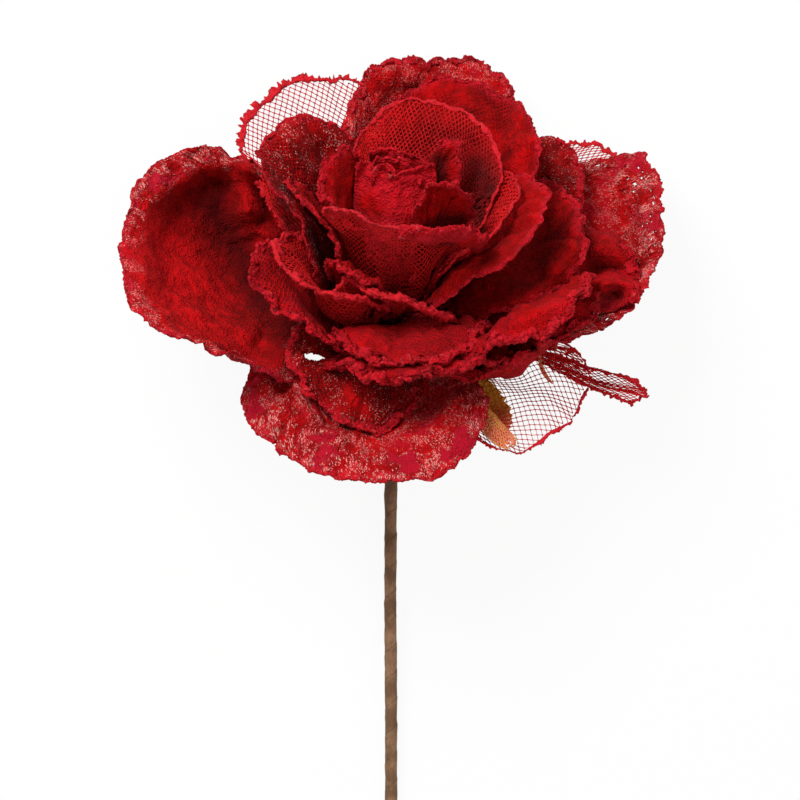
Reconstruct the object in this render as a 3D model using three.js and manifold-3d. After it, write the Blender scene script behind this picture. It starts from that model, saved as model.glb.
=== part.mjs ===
// Crepe paper rose on a wrapped wire stem, lying on its back as it rests. Millimetres, +Z up, stem along -Y.
import * as THREE from 'three';
import { ConvexHull } from 'three/addons/math/ConvexHull.js';
import Module from 'manifold-3d';

// Driving sizes
const BLOOM_REACH = 129; // longest petal, from the middle of the glue ball to its rim
const STEM_LENGTH = 206; // straight part of the stem below the glue ball
const STEM_DIAMETER = 5; // over the paper tape
const WIRE_DIAMETER = 2.8; // steel wire in the stem
const FIT = 0.3; // clearance between pieces that touch
const NOD_DEG = 44; // lean of the bloom away from the stem line
const SHEET = 0.5; // thickness of the pulp coated crepe
const BALL_RADIUS = 7; // glue ball that holds the petals
const CORE_HEIGHT = 23; // from the middle of the ball to the top of the glue core
const CORE_SHOULDER_DEG = 12; // half angle of the core's top, seen from the middle of the ball
const CORE_WAIST_DEG = 52; // where the core runs into the ball
const TAPE = 0.7; // paper tape over the underside of the ball
const TAPE_COVER_DEG = 52; // how far the tape climbs the ball, from the stem line
const BUD_RADIUS = 18.5; // outermost turn of the rolled bud
const BUD_TOP = 96; // top of the rolled bud above the middle of the ball
const BUD_TURNS = 2.1;
const BUD_START_DEG = 80; // direction of the sheet's inner edge
const LAYER_NEAR = 1.05; // spacing of petal mid surfaces next to the ball
const LAYER_FAR = 1.35; // spacing of petal mid surfaces out at the rims

// Derived sizes
const RAD = Math.PI / 180;
const GROW = BLOOM_REACH / 129;
const NOD = NOD_DEG * RAD;

// Petals from the inside outwards. Angles in degrees about the bloom's axis, reach in millimetres.
// around: direction the petal faces; half: half its width; reach: ball to rim; drop: how far the rim falls to
// the sides; square: how square the rim is; root and lean: angle off the axis at the ball and at the rim;
// side: extra lean of both sides; tilt: more lean on the second side than the first; skew: longer second side;
// cup: extra lean half way along, which makes the petal hollow.
const PETALS = [
  { name: 'inner_petal_front', kind: 'pulp', around: -38, half: 30, reach: 105, drop: 0.26, root: 10, lean: 14, side: 3, tilt: 6 },
  { name: 'inner_petal_left', kind: 'pulp', around: 184, half: 78, reach: 102, drop: 0.38, root: 9, lean: 14, side: -2, tilt: 5, skew: -0.06 },
  { name: 'inner_petal_folded', kind: 'pulp', around: 32, half: 30, reach: 101, drop: 0.48, root: 11, lean: 16, tilt: -2 },
  { name: 'net_petal_front', kind: 'net', around: -91, half: 73, reach: 114, drop: 0.34, root: 13, lean: 21, side: 5, tilt: 5 },
  { name: 'net_petal_back', kind: 'net', around: 63, half: 79, reach: 105, drop: 0.44, root: 14, lean: 27, side: 3, tilt: -3, skew: -0.04 },
  { name: 'net_petal_right', kind: 'net', around: -2, half: 43, reach: 100, drop: 0.4, root: 17, lean: 29 },
  { name: 'mid_petal_left', kind: 'pulp', around: 192, half: 45, reach: 101, drop: 0.5, root: 15, lean: 22, side: 4, tilt: -3 },
  { name: 'mid_petal_front_left', kind: 'pulp', around: 242, half: 35, reach: 84, drop: 0.44, root: 18, lean: 25, side: 2, tilt: 2 },
  { name: 'mid_petal_right', kind: 'pulp', around: -12, half: 49, reach: 107, drop: 0.4, root: 20, lean: 34, side: 5, tilt: -2 },
  { name: 'mid_petal_back_left', kind: 'pulp', around: 157, half: 63, reach: 106, drop: 0.38, square: 3, root: 19, lean: 30, side: -3, tilt: -6 },
  { name: 'net_petal_low_front', kind: 'net', around: -88, half: 50, reach: 79, drop: 0.36, square: 2.4, root: 20, lean: 31, side: 10, tilt: 11, skew: -0.14 },
  { name: 'net_petal_low_left', kind: 'net', around: 218, half: 49, reach: 90, drop: 0.4, root: 24, lean: 35, side: -4, tilt: 3 },
  { name: 'mid_petal_back', kind: 'pulp', around: 51, half: 59, reach: 113, drop: 0.38, root: 22, lean: 38 },
  { name: 'outer_petal_right_upper', kind: 'pulp', around: 5, half: 44, reach: 99, drop: 0.4, root: 26, lean: 49, side: 6, tilt: -4 },
  { name: 'front_petal_upper', kind: 'pulp', around: -79, half: 44, reach: 81, drop: 0.28, square: 3, root: 27, lean: 47 },
  { name: 'outer_petal_right_front', kind: 'pulp', around: -34, half: 32, reach: 105, drop: 0.35, square: 3, root: 29, lean: 51, skew: 0.04 },
  { name: 'outer_petal_front_left', kind: 'pulp', around: 217, half: 44, reach: 90, drop: 0.42, root: 29, lean: 41, tilt: 4, skew: -0.08 },
  { name: 'front_petal_lower', kind: 'pulp', around: -77, half: 42, reach: 86, drop: 0.28, square: 3, root: 33, lean: 52 },
  { name: 'outer_petal_right', kind: 'pulp', around: -6, half: 30, reach: 108, drop: 0.46, root: 34, lean: 63 },
  { name: 'outer_petal_right_low', kind: 'pulp', around: -46, half: 31, reach: 92, drop: 0.25, square: 3, root: 37, lean: 58 },
  { name: 'fold_petal_low_left', kind: 'pulp', around: 249, half: 33, reach: 75, drop: 0.22, square: 3, root: 40, lean: 67, side: -1, tilt: 7 },
  { name: 'outer_petal_top', kind: 'glitter', around: 73, half: 44, reach: 120, drop: 0.46, root: 34, lean: 51, cup: 4 },
  { name: 'net_petal_top_left', kind: 'net', around: 120, half: 44, reach: 112, drop: 0.46, root: 38, lean: 55, skew: -0.1 },
  { name: 'outer_petal_top_right', kind: 'pulp', around: 38, half: 30, reach: 108, drop: 0.44, root: 36, lean: 56 },
  { name: 'outer_petal_left', kind: 'glitter', around: 180, half: 52, reach: 125, drop: 0.38, root: 42, lean: 58, side: -4, tilt: 4, square: 3, cup: 7, skew: 0.02 },
  { name: 'outer_petal_far_right', kind: 'glitter', around: 11, half: 40, reach: 123, drop: 0.52, square: 3, root: 42, lean: 63, side: 4, cup: 6, skew: 0.05 },
  { name: 'net_petal_top_right', kind: 'net', around: 37, half: 20, reach: 120, drop: 0.46, root: 46, lean: 67, tilt: 1, skew: -0.06 },
  { name: 'outer_petal_bottom', kind: 'glitter', around: -99, half: 51, reach: 97, drop: 0.4, square: 3, root: 52, lean: 78, cup: -5, skew: -0.04 },
  { name: 'gold_net_leaf', kind: 'gold', around: -56, half: 10, reach: 85, drop: 0.45, root: 56, lean: 80 },
  { name: 'net_petal_bottom_right', kind: 'net', around: -38, half: 34, reach: 92, drop: 0.45, square: 3, root: 57, lean: 81 },
  { name: 'net_tail_right', kind: 'net', around: -21, half: 5, reach: 112, drop: 0.45, root: 56, lean: 83 },
];
const COLOURS = { pulp: 0xb3122a, net: 0x8e1626, glitter: 0xc03246, gold: 0xcf9a4a };

// Small helpers
function smooth(x) {
  const t = Math.min(1, Math.max(0, x));
  return t * t * (3 - 2 * t);
}

// Polar place about the middle of the glue ball: angle around, distance, angle off the axis.
function place(around, dist, off) {
  const across = dist * Math.sin(off);
  return new THREE.Vector3(across * Math.cos(around), across * Math.sin(around), dist * Math.cos(off));
}

function polar(point) {
  const dist = point.length();
  const turn = Math.atan2(point.y, point.x);
  return { around: turn < 0 ? turn + 2 * Math.PI : turn, dist, off: Math.acos(point.z / dist) };
}

// Distance from the middle of the ball to the surface of the glue core, at an angle off the bloom's axis.
function coreReach(off) {
  const share = (off / RAD - CORE_SHOULDER_DEG) / (CORE_WAIST_DEG - CORE_SHOULDER_DEG);
  return CORE_HEIGHT - (CORE_HEIGHT - BALL_RADIUS) * smooth(share);
}

// Mid surface of one petal, a net of places from the root row to the rim row.
function petalNet(spec) {
  const { square = 2.6, side = 0, tilt = 0, skew = 0, cup = 0 } = spec;
  const across = spec.half > 25 ? 10 : 8;
  const along = spec.half > 25 ? 6 : 5;
  const start = coreReach(spec.root * RAD) + 2 * SHEET;
  const full = spec.reach * GROW;
  const net = [];
  for (let i = 0; i <= across; i += 1) {
    const u = (2 * i) / across - 1;
    const row = [];
    const rim = full * (1 - spec.drop * Math.abs(u) ** square) * (1 + skew * u);
    for (let j = 0; j <= along; j += 1) {
      const v = j / along;
      const dist = start + (rim - start) * v;
      const turn = spec.around + spec.half * u * (0.35 + 0.65 * smooth(v * 1.05));
      const part = Math.max(0, (dist - start) / (full - start));
      const bend = (side * u * u + tilt * u) * v ** 1.5 + 4 * cup * v * (1 - v) * (1 - u * u);
      const lean = spec.root + (spec.lean - spec.root) * part ** 1.3 + bend;
      row.push(place(turn * RAD, dist, lean * RAD));
    }
    net.push(row);
  }
  return net;
}

// Rolled sheet in the middle of the bloom.
function budNet() {
  const across = 34;
  const along = 6;
  const base = CORE_HEIGHT + FIT;
  const net = [];
  for (let i = 0; i <= across; i += 1) {
    const u = i / across;
    const turn = (BUD_START_DEG + 360 * BUD_TURNS * u) * RAD;
    const full = 3 + (BUD_RADIUS - 3) * u ** 0.6;
    const top = BUD_TOP * GROW - 5 * u;
    const row = [];
    for (let j = 0; j <= along; j += 1) {
      const v = j / along;
      const swell = 0.22 + 0.78 * Math.sin(v * Math.PI * 0.62) ** 0.9;
      const out = 2.2 + (full - 2.2) * swell;
      row.push(new THREE.Vector3(out * Math.cos(turn), out * Math.sin(turn), base + (top - base) * v));
    }
    net.push(row);
  }
  return net;
}

// Record of how far out the layers laid so far reach, by direction and distance.
const TURNS = 180;
const RINGS = 70;
const FAR = 150 * GROW;
const EMPTY = -9;
const reached = new Float64Array(TURNS * RINGS).fill(EMPTY);

function refined(net, k, visit) {
  const nu = net.length - 1;
  const nv = net[0].length - 1;
  const point = new THREE.Vector3();
  const lower = new THREE.Vector3();
  const upper = new THREE.Vector3();
  for (let a = 0; a <= nu * k; a += 1) {
    const i = Math.min(Math.floor(a / k), nu - 1);
    const fa = a / k - i;
    for (let b = 0; b <= nv * k; b += 1) {
      const j = Math.min(Math.floor(b / k), nv - 1);
      const fb = b / k - j;
      lower.lerpVectors(net[i][j], net[i + 1][j], fa);
      upper.lerpVectors(net[i][j + 1], net[i + 1][j + 1], fa);
      point.lerpVectors(lower, upper, fb);
      visit(point, i, j, fa, fb);
    }
  }
}

function cell(turn, ring) {
  const t = ((turn % TURNS) + TURNS) % TURNS;
  const r = Math.min(RINGS - 1, Math.max(0, ring));
  return reached[t * RINGS + r];
}

// Laid cells keep their own value; an empty one takes its largest neighbour, so rims keep their clearance.
function filled(turn, ring) {
  const own = cell(turn, ring);
  if (own > EMPTY) return own;
  let best = -0.6;
  for (let a = -1; a <= 1; a += 1) {
    for (let b = -1; b <= 1; b += 1) best = Math.max(best, cell(turn + a, ring + b));
  }
  return best;
}

function reachedAt(around, dist) {
  const x = (around / (2 * Math.PI)) * TURNS - 0.5;
  const y = (dist / FAR) * RINGS - 0.5;
  const i = Math.floor(x);
  const j = Math.floor(y);
  const fx = x - i;
  const fy = y - j;
  const near = filled(i, j) * (1 - fx) + filled(i + 1, j) * fx;
  const away = filled(i, j + 1) * (1 - fx) + filled(i + 1, j + 1) * fx;
  return near * (1 - fy) + away * fy;
}

function lay(net) {
  refined(net, 8, (point) => {
    const at = polar(point);
    const t = Math.floor((at.around / (2 * Math.PI)) * TURNS) % TURNS;
    const r = Math.min(RINGS - 1, Math.floor((at.dist / FAR) * RINGS));
    reached[t * RINGS + r] = Math.max(reached[t * RINGS + r], at.off);
  });
}

function spacing(dist) {
  return SHEET - 0.5 + LAYER_NEAR + (LAYER_FAR - LAYER_NEAR) * smooth((dist - 22) / 40);
}

// Lowers the root of a petal until it rests on the layers inside it.
function seat(net) {
  let room = 9;
  for (const row of net) {
    for (let j = 0; j < 3; j += 1) {
      const at = polar(row[j]);
      room = Math.min(room, at.off - reachedAt(at.around, at.dist) - spacing(at.dist) / at.dist);
    }
  }
  if (room <= 0) return;
  for (const row of net) {
    for (let j = 0; j < 3; j += 1) {
      const at = polar(row[j]);
      row[j].copy(place(at.around, at.dist, at.off - room * (1 - j / 3) ** 1.5));
    }
  }
}

// Turns the corners of a petal outwards, least movement first, until it clears the layers inside it.
function clear(net) {
  for (let round = 0; round < 8; round += 1) {
    const turn = net.map((row) => row.map(() => 0));
    refined(net, 6, (point, i, j, fa, fb) => {
      const at = polar(point);
      const need = reachedAt(at.around, at.dist) + spacing(at.dist) / at.dist - at.off;
      if (need <= 0) return;
      const share = [(1 - fa) * (1 - fb), fa * (1 - fb), (1 - fa) * fb, fa * fb];
      const total = share.reduce((sum, w) => sum + w * w, 0);
      share.forEach((w, n) => {
        const a = i + (n % 2);
        const b = j + (n > 1 ? 1 : 0);
        turn[a][b] = Math.max(turn[a][b], (need * w) / total);
      });
    });
    net.forEach((row, a) => {
      row.forEach((point, b) => {
        const at = polar(point);
        point.copy(place(at.around, at.dist, Math.min(2.3, at.off + turn[a][b])));
      });
    });
  }
}

// Ends the root of a petal on the glue core, with the clearance square to the core's surface.
function root(net) {
  for (const row of net) {
    const at = polar(row[0]);
    const slope = (coreReach(at.off + 0.01) - coreReach(at.off - 0.01)) / 0.02 / at.dist;
    const gap = (FIT + SHEET / 2) * Math.hypot(1, slope);
    row[0].copy(place(at.around, coreReach(at.off) + gap, at.off));
  }
}

// Closed sheet of even thickness on both sides of a mid surface.
function sheetGeometry(net) {
  const nu = net.length;
  const nv = net[0].length;
  const spots = [];
  for (const way of [0.5, -0.5]) {
    for (let i = 0; i < nu; i += 1) {
      for (let j = 0; j < nv; j += 1) {
        const du = net[Math.min(i + 1, nu - 1)][j].clone().sub(net[Math.max(i - 1, 0)][j]);
        const dv = net[i][Math.min(j + 1, nv - 1)].clone().sub(net[i][Math.max(j - 1, 0)]);
        const normal = du.cross(dv).normalize();
        const spot = net[i][j].clone().addScaledVector(normal, way * SHEET);
        spots.push(spot.x, spot.y, spot.z);
      }
    }
  }
  const half = nu * nv;
  const faces = [];
  const quad = (a, b, c, d) => faces.push(a, b, c, a, c, d);
  for (let i = 0; i < nu - 1; i += 1) {
    for (let j = 0; j < nv - 1; j += 1) {
      const a = i * nv + j;
      quad(a, a + nv, a + nv + 1, a + 1);
      quad(half + a, half + a + 1, half + a + nv + 1, half + a + nv);
    }
  }
  for (let i = 0; i < nu - 1; i += 1) {
    const a = i * nv;
    const b = a + nv - 1;
    quad(a, half + a, half + a + nv, a + nv);
    quad(b, b + nv, half + b + nv, half + b);
  }
  for (let j = 0; j < nv - 1; j += 1) {
    const b = (nu - 1) * nv + j;
    quad(j, j + 1, half + j + 1, half + j);
    quad(b, half + b, half + b + 1, b + 1);
  }
  const geometry = new THREE.BufferGeometry();
  geometry.setAttribute('position', new THREE.Float32BufferAttribute(spots, 3));
  geometry.setIndex(faces);
  return geometry;
}

function turned(profile, segments) {
  const geometry = new THREE.LatheGeometry(profile.map(([x, y]) => new THREE.Vector2(x, y)), segments);
  return geometry;
}

// Glue ball drawn out into a core along the bloom's axis, which is Y here before it is stood on Z.
const coreProfile = [[0, -BALL_RADIUS]];
for (const deg of [150, 125, 100, 76, 60, 53, 49, 45, 41, 37, 32, 27, 22, 17, 12, 6]) {
  const reach = coreReach(deg * RAD);
  coreProfile.push([reach * Math.sin(deg * RAD), reach * Math.cos(deg * RAD)]);
}
coreProfile.push([0, CORE_HEIGHT]);
const coreSolid = turned(coreProfile, 20);
coreSolid.rotateX(Math.PI / 2);

// Everything of the bloom is made about its own axis, then nodded into the picture plane, where the stem is -Y.
const nod = new THREE.Matrix4().makeRotationX(NOD - Math.PI / 2);

// Stem line, a lathe about Y that starts in the glue ball.
const wireRadius = WIRE_DIAMETER / 2;
const boreRadius = wireRadius + FIT;
const wireTop = -BALL_RADIUS * 0.2;
const tapeInner = BALL_RADIUS + FIT;
const tapeOuter = tapeInner + TAPE;
const wrapTop = -(tapeOuter + FIT);
const stemEnd = -(BALL_RADIUS + STEM_LENGTH);
const wireSolid = turned([[0, stemEnd], [wireRadius, stemEnd], [wireRadius, wireTop], [0, wireTop]], 20);
const boreSolid = turned([[0, -BALL_RADIUS * 3], [boreRadius, -BALL_RADIUS * 3], [boreRadius, wireTop + FIT], [0, wireTop + FIT]], 20);
const wrapSolid = turned([
  [boreRadius, stemEnd],
  [STEM_DIAMETER / 2, stemEnd],
  [STEM_DIAMETER / 2, wrapTop],
  [boreRadius, wrapTop],
  [boreRadius, stemEnd],
], 20);
const cupStart = Math.asin(boreRadius / tapeInner) / RAD;
const cupArc = [0, 1, 2, 3, 4].map((n) => (cupStart + ((TAPE_COVER_DEG - cupStart) * n) / 4) * RAD);
const cupProfile = [
  ...cupArc.map((turn) => [tapeOuter * Math.sin(turn), -tapeOuter * Math.cos(turn)]),
  ...cupArc.reverse().map((turn) => [tapeInner * Math.sin(turn), -tapeInner * Math.cos(turn)]),
];
cupProfile.push(cupProfile[0].slice());
const cupSolid = turned(cupProfile, 20);

// Cuts the wire's hole out of the glue.
const wasm = await Module();
wasm.setup();

function toManifold(geometry) {
  const seen = new Map();
  const verts = [];
  const source = geometry.getAttribute('position');
  const index = geometry.getIndex();
  const tris = [];
  for (let n = 0; n < index.count; n += 3) {
    const ids = [0, 1, 2].map((m) => {
      const k = index.getX(n + m);
      const key = [source.getX(k), source.getY(k), source.getZ(k)].map((x) => x.toFixed(4)).join(' ').replace(/-0\.0000/g, '0.0000');
      if (!seen.has(key)) {
        seen.set(key, seen.size);
        verts.push(source.getX(k), source.getY(k), source.getZ(k));
      }
      return seen.get(key);
    });
    if (ids[0] !== ids[1] && ids[1] !== ids[2] && ids[0] !== ids[2]) tris.push(...ids);
  }
  const mesh = new wasm.Mesh({ numProp: 3, vertProperties: new Float32Array(verts), triVerts: new Uint32Array(tris) });
  return new wasm.Manifold(mesh);
}

function fromManifold(solid) {
  const mesh = solid.getMesh();
  const geometry = new THREE.BufferGeometry();
  geometry.setAttribute('position', new THREE.Float32BufferAttribute(Array.from(mesh.vertProperties), 3));
  geometry.setIndex(Array.from(mesh.triVerts));
  return geometry;
}

coreSolid.applyMatrix4(nod);
const coreBored = fromManifold(toManifold(coreSolid).subtract(toManifold(boreSolid)));

const group = new THREE.Group();
group.name = 'crepe_paper_rose';

function add(name, geometry, colour, density) {
  const mesh = new THREE.Mesh(geometry, new THREE.MeshStandardMaterial({ color: colour, roughness: 0.85 }));
  mesh.name = name;
  mesh.userData.density = density;
  group.add(mesh);
}

add('stem_wire', wireSolid, 0x8a8f94, 7.85);
add('stem_paper_wrap', wrapSolid, 0x73553c, 0.7);
add('neck_paper_tape', cupSolid, 0x73553c, 0.7);
add('glue_core', coreBored, 0xd8c9a8, 0.95);

// Seat and space every layer, from the bud outwards.
for (let r = 0; r < RINGS; r += 1) {
  const dist = ((r + 0.5) / RINGS) * FAR;
  let off = dist < CORE_HEIGHT ? CORE_WAIST_DEG * RAD : EMPTY;
  while (off > 0 && coreReach(off) < dist) off -= 0.01;
  for (let t = 0; t < TURNS; t += 1) reached[t * RINGS + r] = off;
}
const bud = budNet();
lay(bud);
const budSolid = sheetGeometry(bud);
budSolid.applyMatrix4(nod);
add('rolled_bud', budSolid, COLOURS.pulp, 0.35);
for (const spec of PETALS) {
  const net = petalNet(spec);
  seat(net);
  clear(net);
  root(net);
  lay(net);
  const solid = sheetGeometry(net);
  solid.applyMatrix4(nod);
  add(spec.name, solid, COLOURS[spec.kind], 0.35);
}

// Lies it down: the face of its convex outline under the centre of mass goes on the floor.
function centreOfMass() {
  const sum = new THREE.Vector3();
  let mass = 0;
  const a = new THREE.Vector3();
  const b = new THREE.Vector3();
  const c = new THREE.Vector3();
  for (const mesh of group.children) {
    const source = mesh.geometry.getAttribute('position');
    const index = mesh.geometry.getIndex();
    for (let n = 0; n < index.count; n += 3) {
      a.fromBufferAttribute(source, index.getX(n));
      b.fromBufferAttribute(source, index.getX(n + 1));
      c.fromBufferAttribute(source, index.getX(n + 2));
      const share = (mesh.userData.density * a.dot(b.clone().cross(c))) / 6;
      sum.addScaledVector(a.clone().add(b).add(c), share / 4);
      mass += share;
    }
  }
  return { centre: sum.divideScalar(mass), mass };
}

const cloud = [];
for (const mesh of group.children) {
  const source = mesh.geometry.getAttribute('position');
  for (let n = 0; n < source.count; n += 1) cloud.push(new THREE.Vector3().fromBufferAttribute(source, n));
}
const { centre } = centreOfMass();
const hull = new ConvexHull().setFromPoints(cloud);
let floorNormal = new THREE.Vector3(0, 0, -1);
let best = -2;
for (const face of hull.faces) {
  const corners = [];
  let edge = face.edge;
  do {
    corners.push(edge.head().point);
    edge = edge.next;
  } while (edge !== face.edge);
  const inside = corners.every((corner, n) => {
    const next = corners[(n + 1) % corners.length];
    const out = next.clone().sub(corner).cross(face.normal);
    return out.dot(centre.clone().sub(corner)) <= 0;
  });
  if (inside && -face.normal.z > best) {
    best = -face.normal.z;
    floorNormal = face.normal.clone();
  }
}
const lie = new THREE.Matrix4().makeRotationFromQuaternion(
  new THREE.Quaternion().setFromUnitVectors(floorNormal, new THREE.Vector3(0, 0, -1)),
);
const along = new THREE.Vector3(0, -1, 0).applyMatrix4(lie);
const yaw = new THREE.Matrix4().makeRotationZ(-Math.atan2(along.x, -along.y));
const whole = yaw.multiply(lie);
for (const mesh of group.children) mesh.geometry.applyMatrix4(whole);
const box = new THREE.Box3();
for (const mesh of group.children) {
  mesh.geometry.computeBoundingBox();
  box.union(mesh.geometry.boundingBox);
}
const middle = box.getCenter(new THREE.Vector3());
for (const mesh of group.children) {
  mesh.geometry.translate(-middle.x, -middle.y, -box.min.z);
  mesh.geometry.computeVertexNormals();
}

export default group;
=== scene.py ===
"""Crepe paper rose: a bloom of pulp coated crepe and stiff net petals on a wrapped wire stem, on its back.

Petals are worked out in millimetres about the middle of the glue ball, with Z along the bloom's axis, as
azimuth around that axis, distance from the ball and angle off the axis. lay_down() turns them into the
part's own frame in metres.
"""
import math
import bpy
import numpy as np
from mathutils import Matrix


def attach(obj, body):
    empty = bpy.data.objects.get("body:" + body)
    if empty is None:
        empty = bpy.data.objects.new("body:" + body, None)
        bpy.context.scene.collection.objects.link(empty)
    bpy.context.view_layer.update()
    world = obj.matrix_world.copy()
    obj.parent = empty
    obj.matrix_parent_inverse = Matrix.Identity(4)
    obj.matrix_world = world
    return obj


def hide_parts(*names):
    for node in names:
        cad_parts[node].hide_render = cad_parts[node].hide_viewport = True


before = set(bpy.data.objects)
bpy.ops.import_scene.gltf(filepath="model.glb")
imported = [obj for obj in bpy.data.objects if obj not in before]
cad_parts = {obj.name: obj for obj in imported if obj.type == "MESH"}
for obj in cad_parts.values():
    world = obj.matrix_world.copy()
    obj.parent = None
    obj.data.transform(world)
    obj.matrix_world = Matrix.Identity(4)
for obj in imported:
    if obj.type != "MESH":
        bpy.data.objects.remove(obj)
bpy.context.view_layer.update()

RAD = math.pi / 180
MM = 0.001

# The rose's own sizes in millimetres and degrees. PETALS is drawn for a bloom that reaches DRAWN_REACH.
BLOOM_REACH = 129
DRAWN_REACH = 129
GROWTH = BLOOM_REACH / DRAWN_REACH
BALL_RADIUS = 7
CORE_HEIGHT = 23
CORE_SHOULDER = 12
CORE_WAIST = 52
STEM_LENGTH = 206
STEM_DIAMETER = 5
WIRE_DIAMETER = 2.8
FIT = 0.3
NOD = 44
SHEET = 0.5
TAPE = 0.7
TAPE_COVER = 52
TAPE_PITCH = 11
BUD_RADIUS = 18.5
BUD_TOP = 96
BUD_TURNS = 2.1
BUD_START = 80
LAYER_NEAR = 1.05
LAYER_FAR = 1.35
LAYER_GROWS_FROM = 22
LAYER_GROWS_OVER = 40

# How the rose lies: turn of the upright bloom's picture frame into the part's, and where the ball comes to be
LIE = np.array([
    [0.9999623, 0.0, -0.0086814],
    [-0.000471, 0.9985272, -0.0542517],
    [0.0086687, 0.0542538, 0.9984895],
])
BALL_AT = np.array([-1.2827, 47.2797, 14.0523])

# Petals from the inside outwards: name, kind, then direction it faces, half its width, reach from ball to
# rim, fall of the rim to the sides, angle off the axis at the ball and at the rim, then what it has besides
PETALS = [
    ("inner_petal_front", "pulp", -38, 30, 105, 0.26, 10, 14, dict(side=3, tilt=6)),
    ("inner_petal_left", "pulp", 184, 78, 102, 0.38, 9, 14, dict(side=-2, tilt=5, skew=-0.06)),
    ("inner_petal_folded", "pulp", 32, 30, 101, 0.48, 11, 16, dict(tilt=-2)),
    ("net_petal_front", "net", -91, 73, 114, 0.34, 13, 21, dict(side=5, tilt=5)),
    ("net_petal_back", "net", 63, 79, 105, 0.44, 14, 27, dict(side=3, tilt=-3, skew=-0.04)),
    ("net_petal_right", "net", -2, 43, 100, 0.4, 17, 29, dict()),
    ("mid_petal_left", "pulp", 192, 45, 101, 0.5, 15, 22, dict(side=4, tilt=-3)),
    ("mid_petal_front_left", "pulp", 242, 35, 84, 0.44, 18, 25, dict(side=2, tilt=2)),
    ("mid_petal_right", "pulp", -12, 49, 107, 0.4, 20, 34, dict(side=5, tilt=-2)),
    ("mid_petal_back_left", "pulp", 157, 63, 106, 0.38, 19, 30, dict(square=3, side=-3, tilt=-6)),
    ("net_petal_low_front", "net", -88, 50, 79, 0.36, 20, 31, dict(square=2.4, side=10, tilt=11, skew=-0.14)),
    ("net_petal_low_left", "net", 218, 49, 90, 0.4, 24, 35, dict(side=-4, tilt=3)),
    ("mid_petal_back", "pulp", 51, 59, 113, 0.38, 22, 38, dict()),
    ("outer_petal_right_upper", "pulp", 5, 44, 99, 0.4, 26, 49, dict(side=6, tilt=-4)),
    ("front_petal_upper", "pulp", -79, 44, 81, 0.28, 27, 47, dict(square=3)),
    ("outer_petal_right_front", "pulp", -34, 32, 105, 0.35, 29, 51, dict(square=3, skew=0.04)),
    ("outer_petal_front_left", "pulp", 217, 44, 90, 0.42, 29, 41, dict(tilt=4, skew=-0.08)),
    ("front_petal_lower", "pulp", -77, 42, 86, 0.28, 33, 52, dict(square=3)),
    ("outer_petal_right", "pulp", -6, 30, 108, 0.46, 34, 63, dict()),
    ("outer_petal_right_low", "pulp", -46, 31, 92, 0.25, 37, 58, dict(square=3)),
    ("fold_petal_low_left", "pulp", 249, 33, 75, 0.22, 40, 67, dict(square=3, side=-1, tilt=7)),
    ("outer_petal_top", "glitter", 73, 44, 120, 0.46, 34, 51, dict(cup=4)),
    ("net_petal_top_left", "net", 120, 44, 112, 0.46, 38, 55, dict(skew=-0.1)),
    ("outer_petal_top_right", "pulp", 38, 30, 108, 0.44, 36, 56, dict()),
    (
        "outer_petal_left", "glitter", 180, 52, 125, 0.38, 42, 58,
        dict(square=3, side=-4, tilt=4, skew=0.02, cup=7),
    ),
    ("outer_petal_far_right", "glitter", 11, 40, 123, 0.52, 42, 63, dict(square=3, side=4, cup=6, skew=0.05)),
    ("net_petal_top_right", "net", 37, 20, 120, 0.46, 46, 67, dict(tilt=1, skew=-0.06)),
    ("outer_petal_bottom", "glitter", -99, 51, 97, 0.4, 52, 78, dict(square=3, cup=-5, skew=-0.04)),
    ("gold_net_leaf", "gold", -56, 10, 85, 0.45, 56, 80, dict()),
    ("net_petal_bottom_right", "net", -38, 34, 92, 0.45, 57, 81, dict(square=3)),
    ("net_tail_right", "net", -21, 5, 112, 0.45, 56, 83, dict()),
]

# What each piece has of its own. Lengths are in millimetres.
# Rim: crumb is the radius of its crumbs, clumpy how uneven they are, inwards how far they reach over the
# sheet, tuft how far their spikes stand out, and ragged and bumps change its reach.
# Shape: ruffle is the height of its waves, curl that of its turned edge, hollow how deep its middle is
# pressed, crumple the strength of its lumps, gap its clearance from the petals inside it and trim the part of
# it that is left.
# Look: tone is how bright it is, weave how much of the cloth shows through, holes the share of open quads,
# blush how far the rim's colour spreads, sparkle, band and inside where it has painted glints and painted
# sheen, matt where it doesn't, dark_to and dark_over how far out the painted shade of its root reaches, and
# outside how much painted shade its back has.
# Net: thread is a radius, pitch the distance between threads, flare how thick they are where they cross, flat
# how thick they are for their width, cut an outline that the net ends at, and sewn_over says that a leaf lies
# on it.
USUAL = {
    "pulp": dict(crumb=0.85, ruffle=3.0, weave=0.35, tone=0.5, hollow=0.0, holes=0.0, tuft=0.3),
    "glitter": dict(
        crumb=0.3, ruffle=2.4, weave=0.3, tone=0.6, hollow=8.0, holes=0.06, tuft=0.5, curl=0.5, ragged=1.4,
    ),
    "net": dict(
        crumb=0.6, ruffle=1.8, thread=0.42, pitch=2.35, flare=1.3, flat=0.4, tuft=0.35, curl=0.6, gap=2.6
    ),
    "gold": dict(crumb=0.2, ruffle=0.8, thread=0.2, pitch=1.8, flare=1.3, flat=0.6, tuft=0.1, curl=0),
}
OPEN_NET = dict(thread=0.19, pitch=2.4, flare=1.6, flat=0.7, gap=1.6, clumpy=1.5, inwards=1.5)
# Part of a net that another petal's lobe takes the place of, as seen from the front in units of PX
TOP_LEFT_CUT = [
    (200, 153), (244, 153), (261, 172), (264, 190), (268, 202), (277, 220), (300, 250), (330, 330),
    (200, 330),
]

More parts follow.
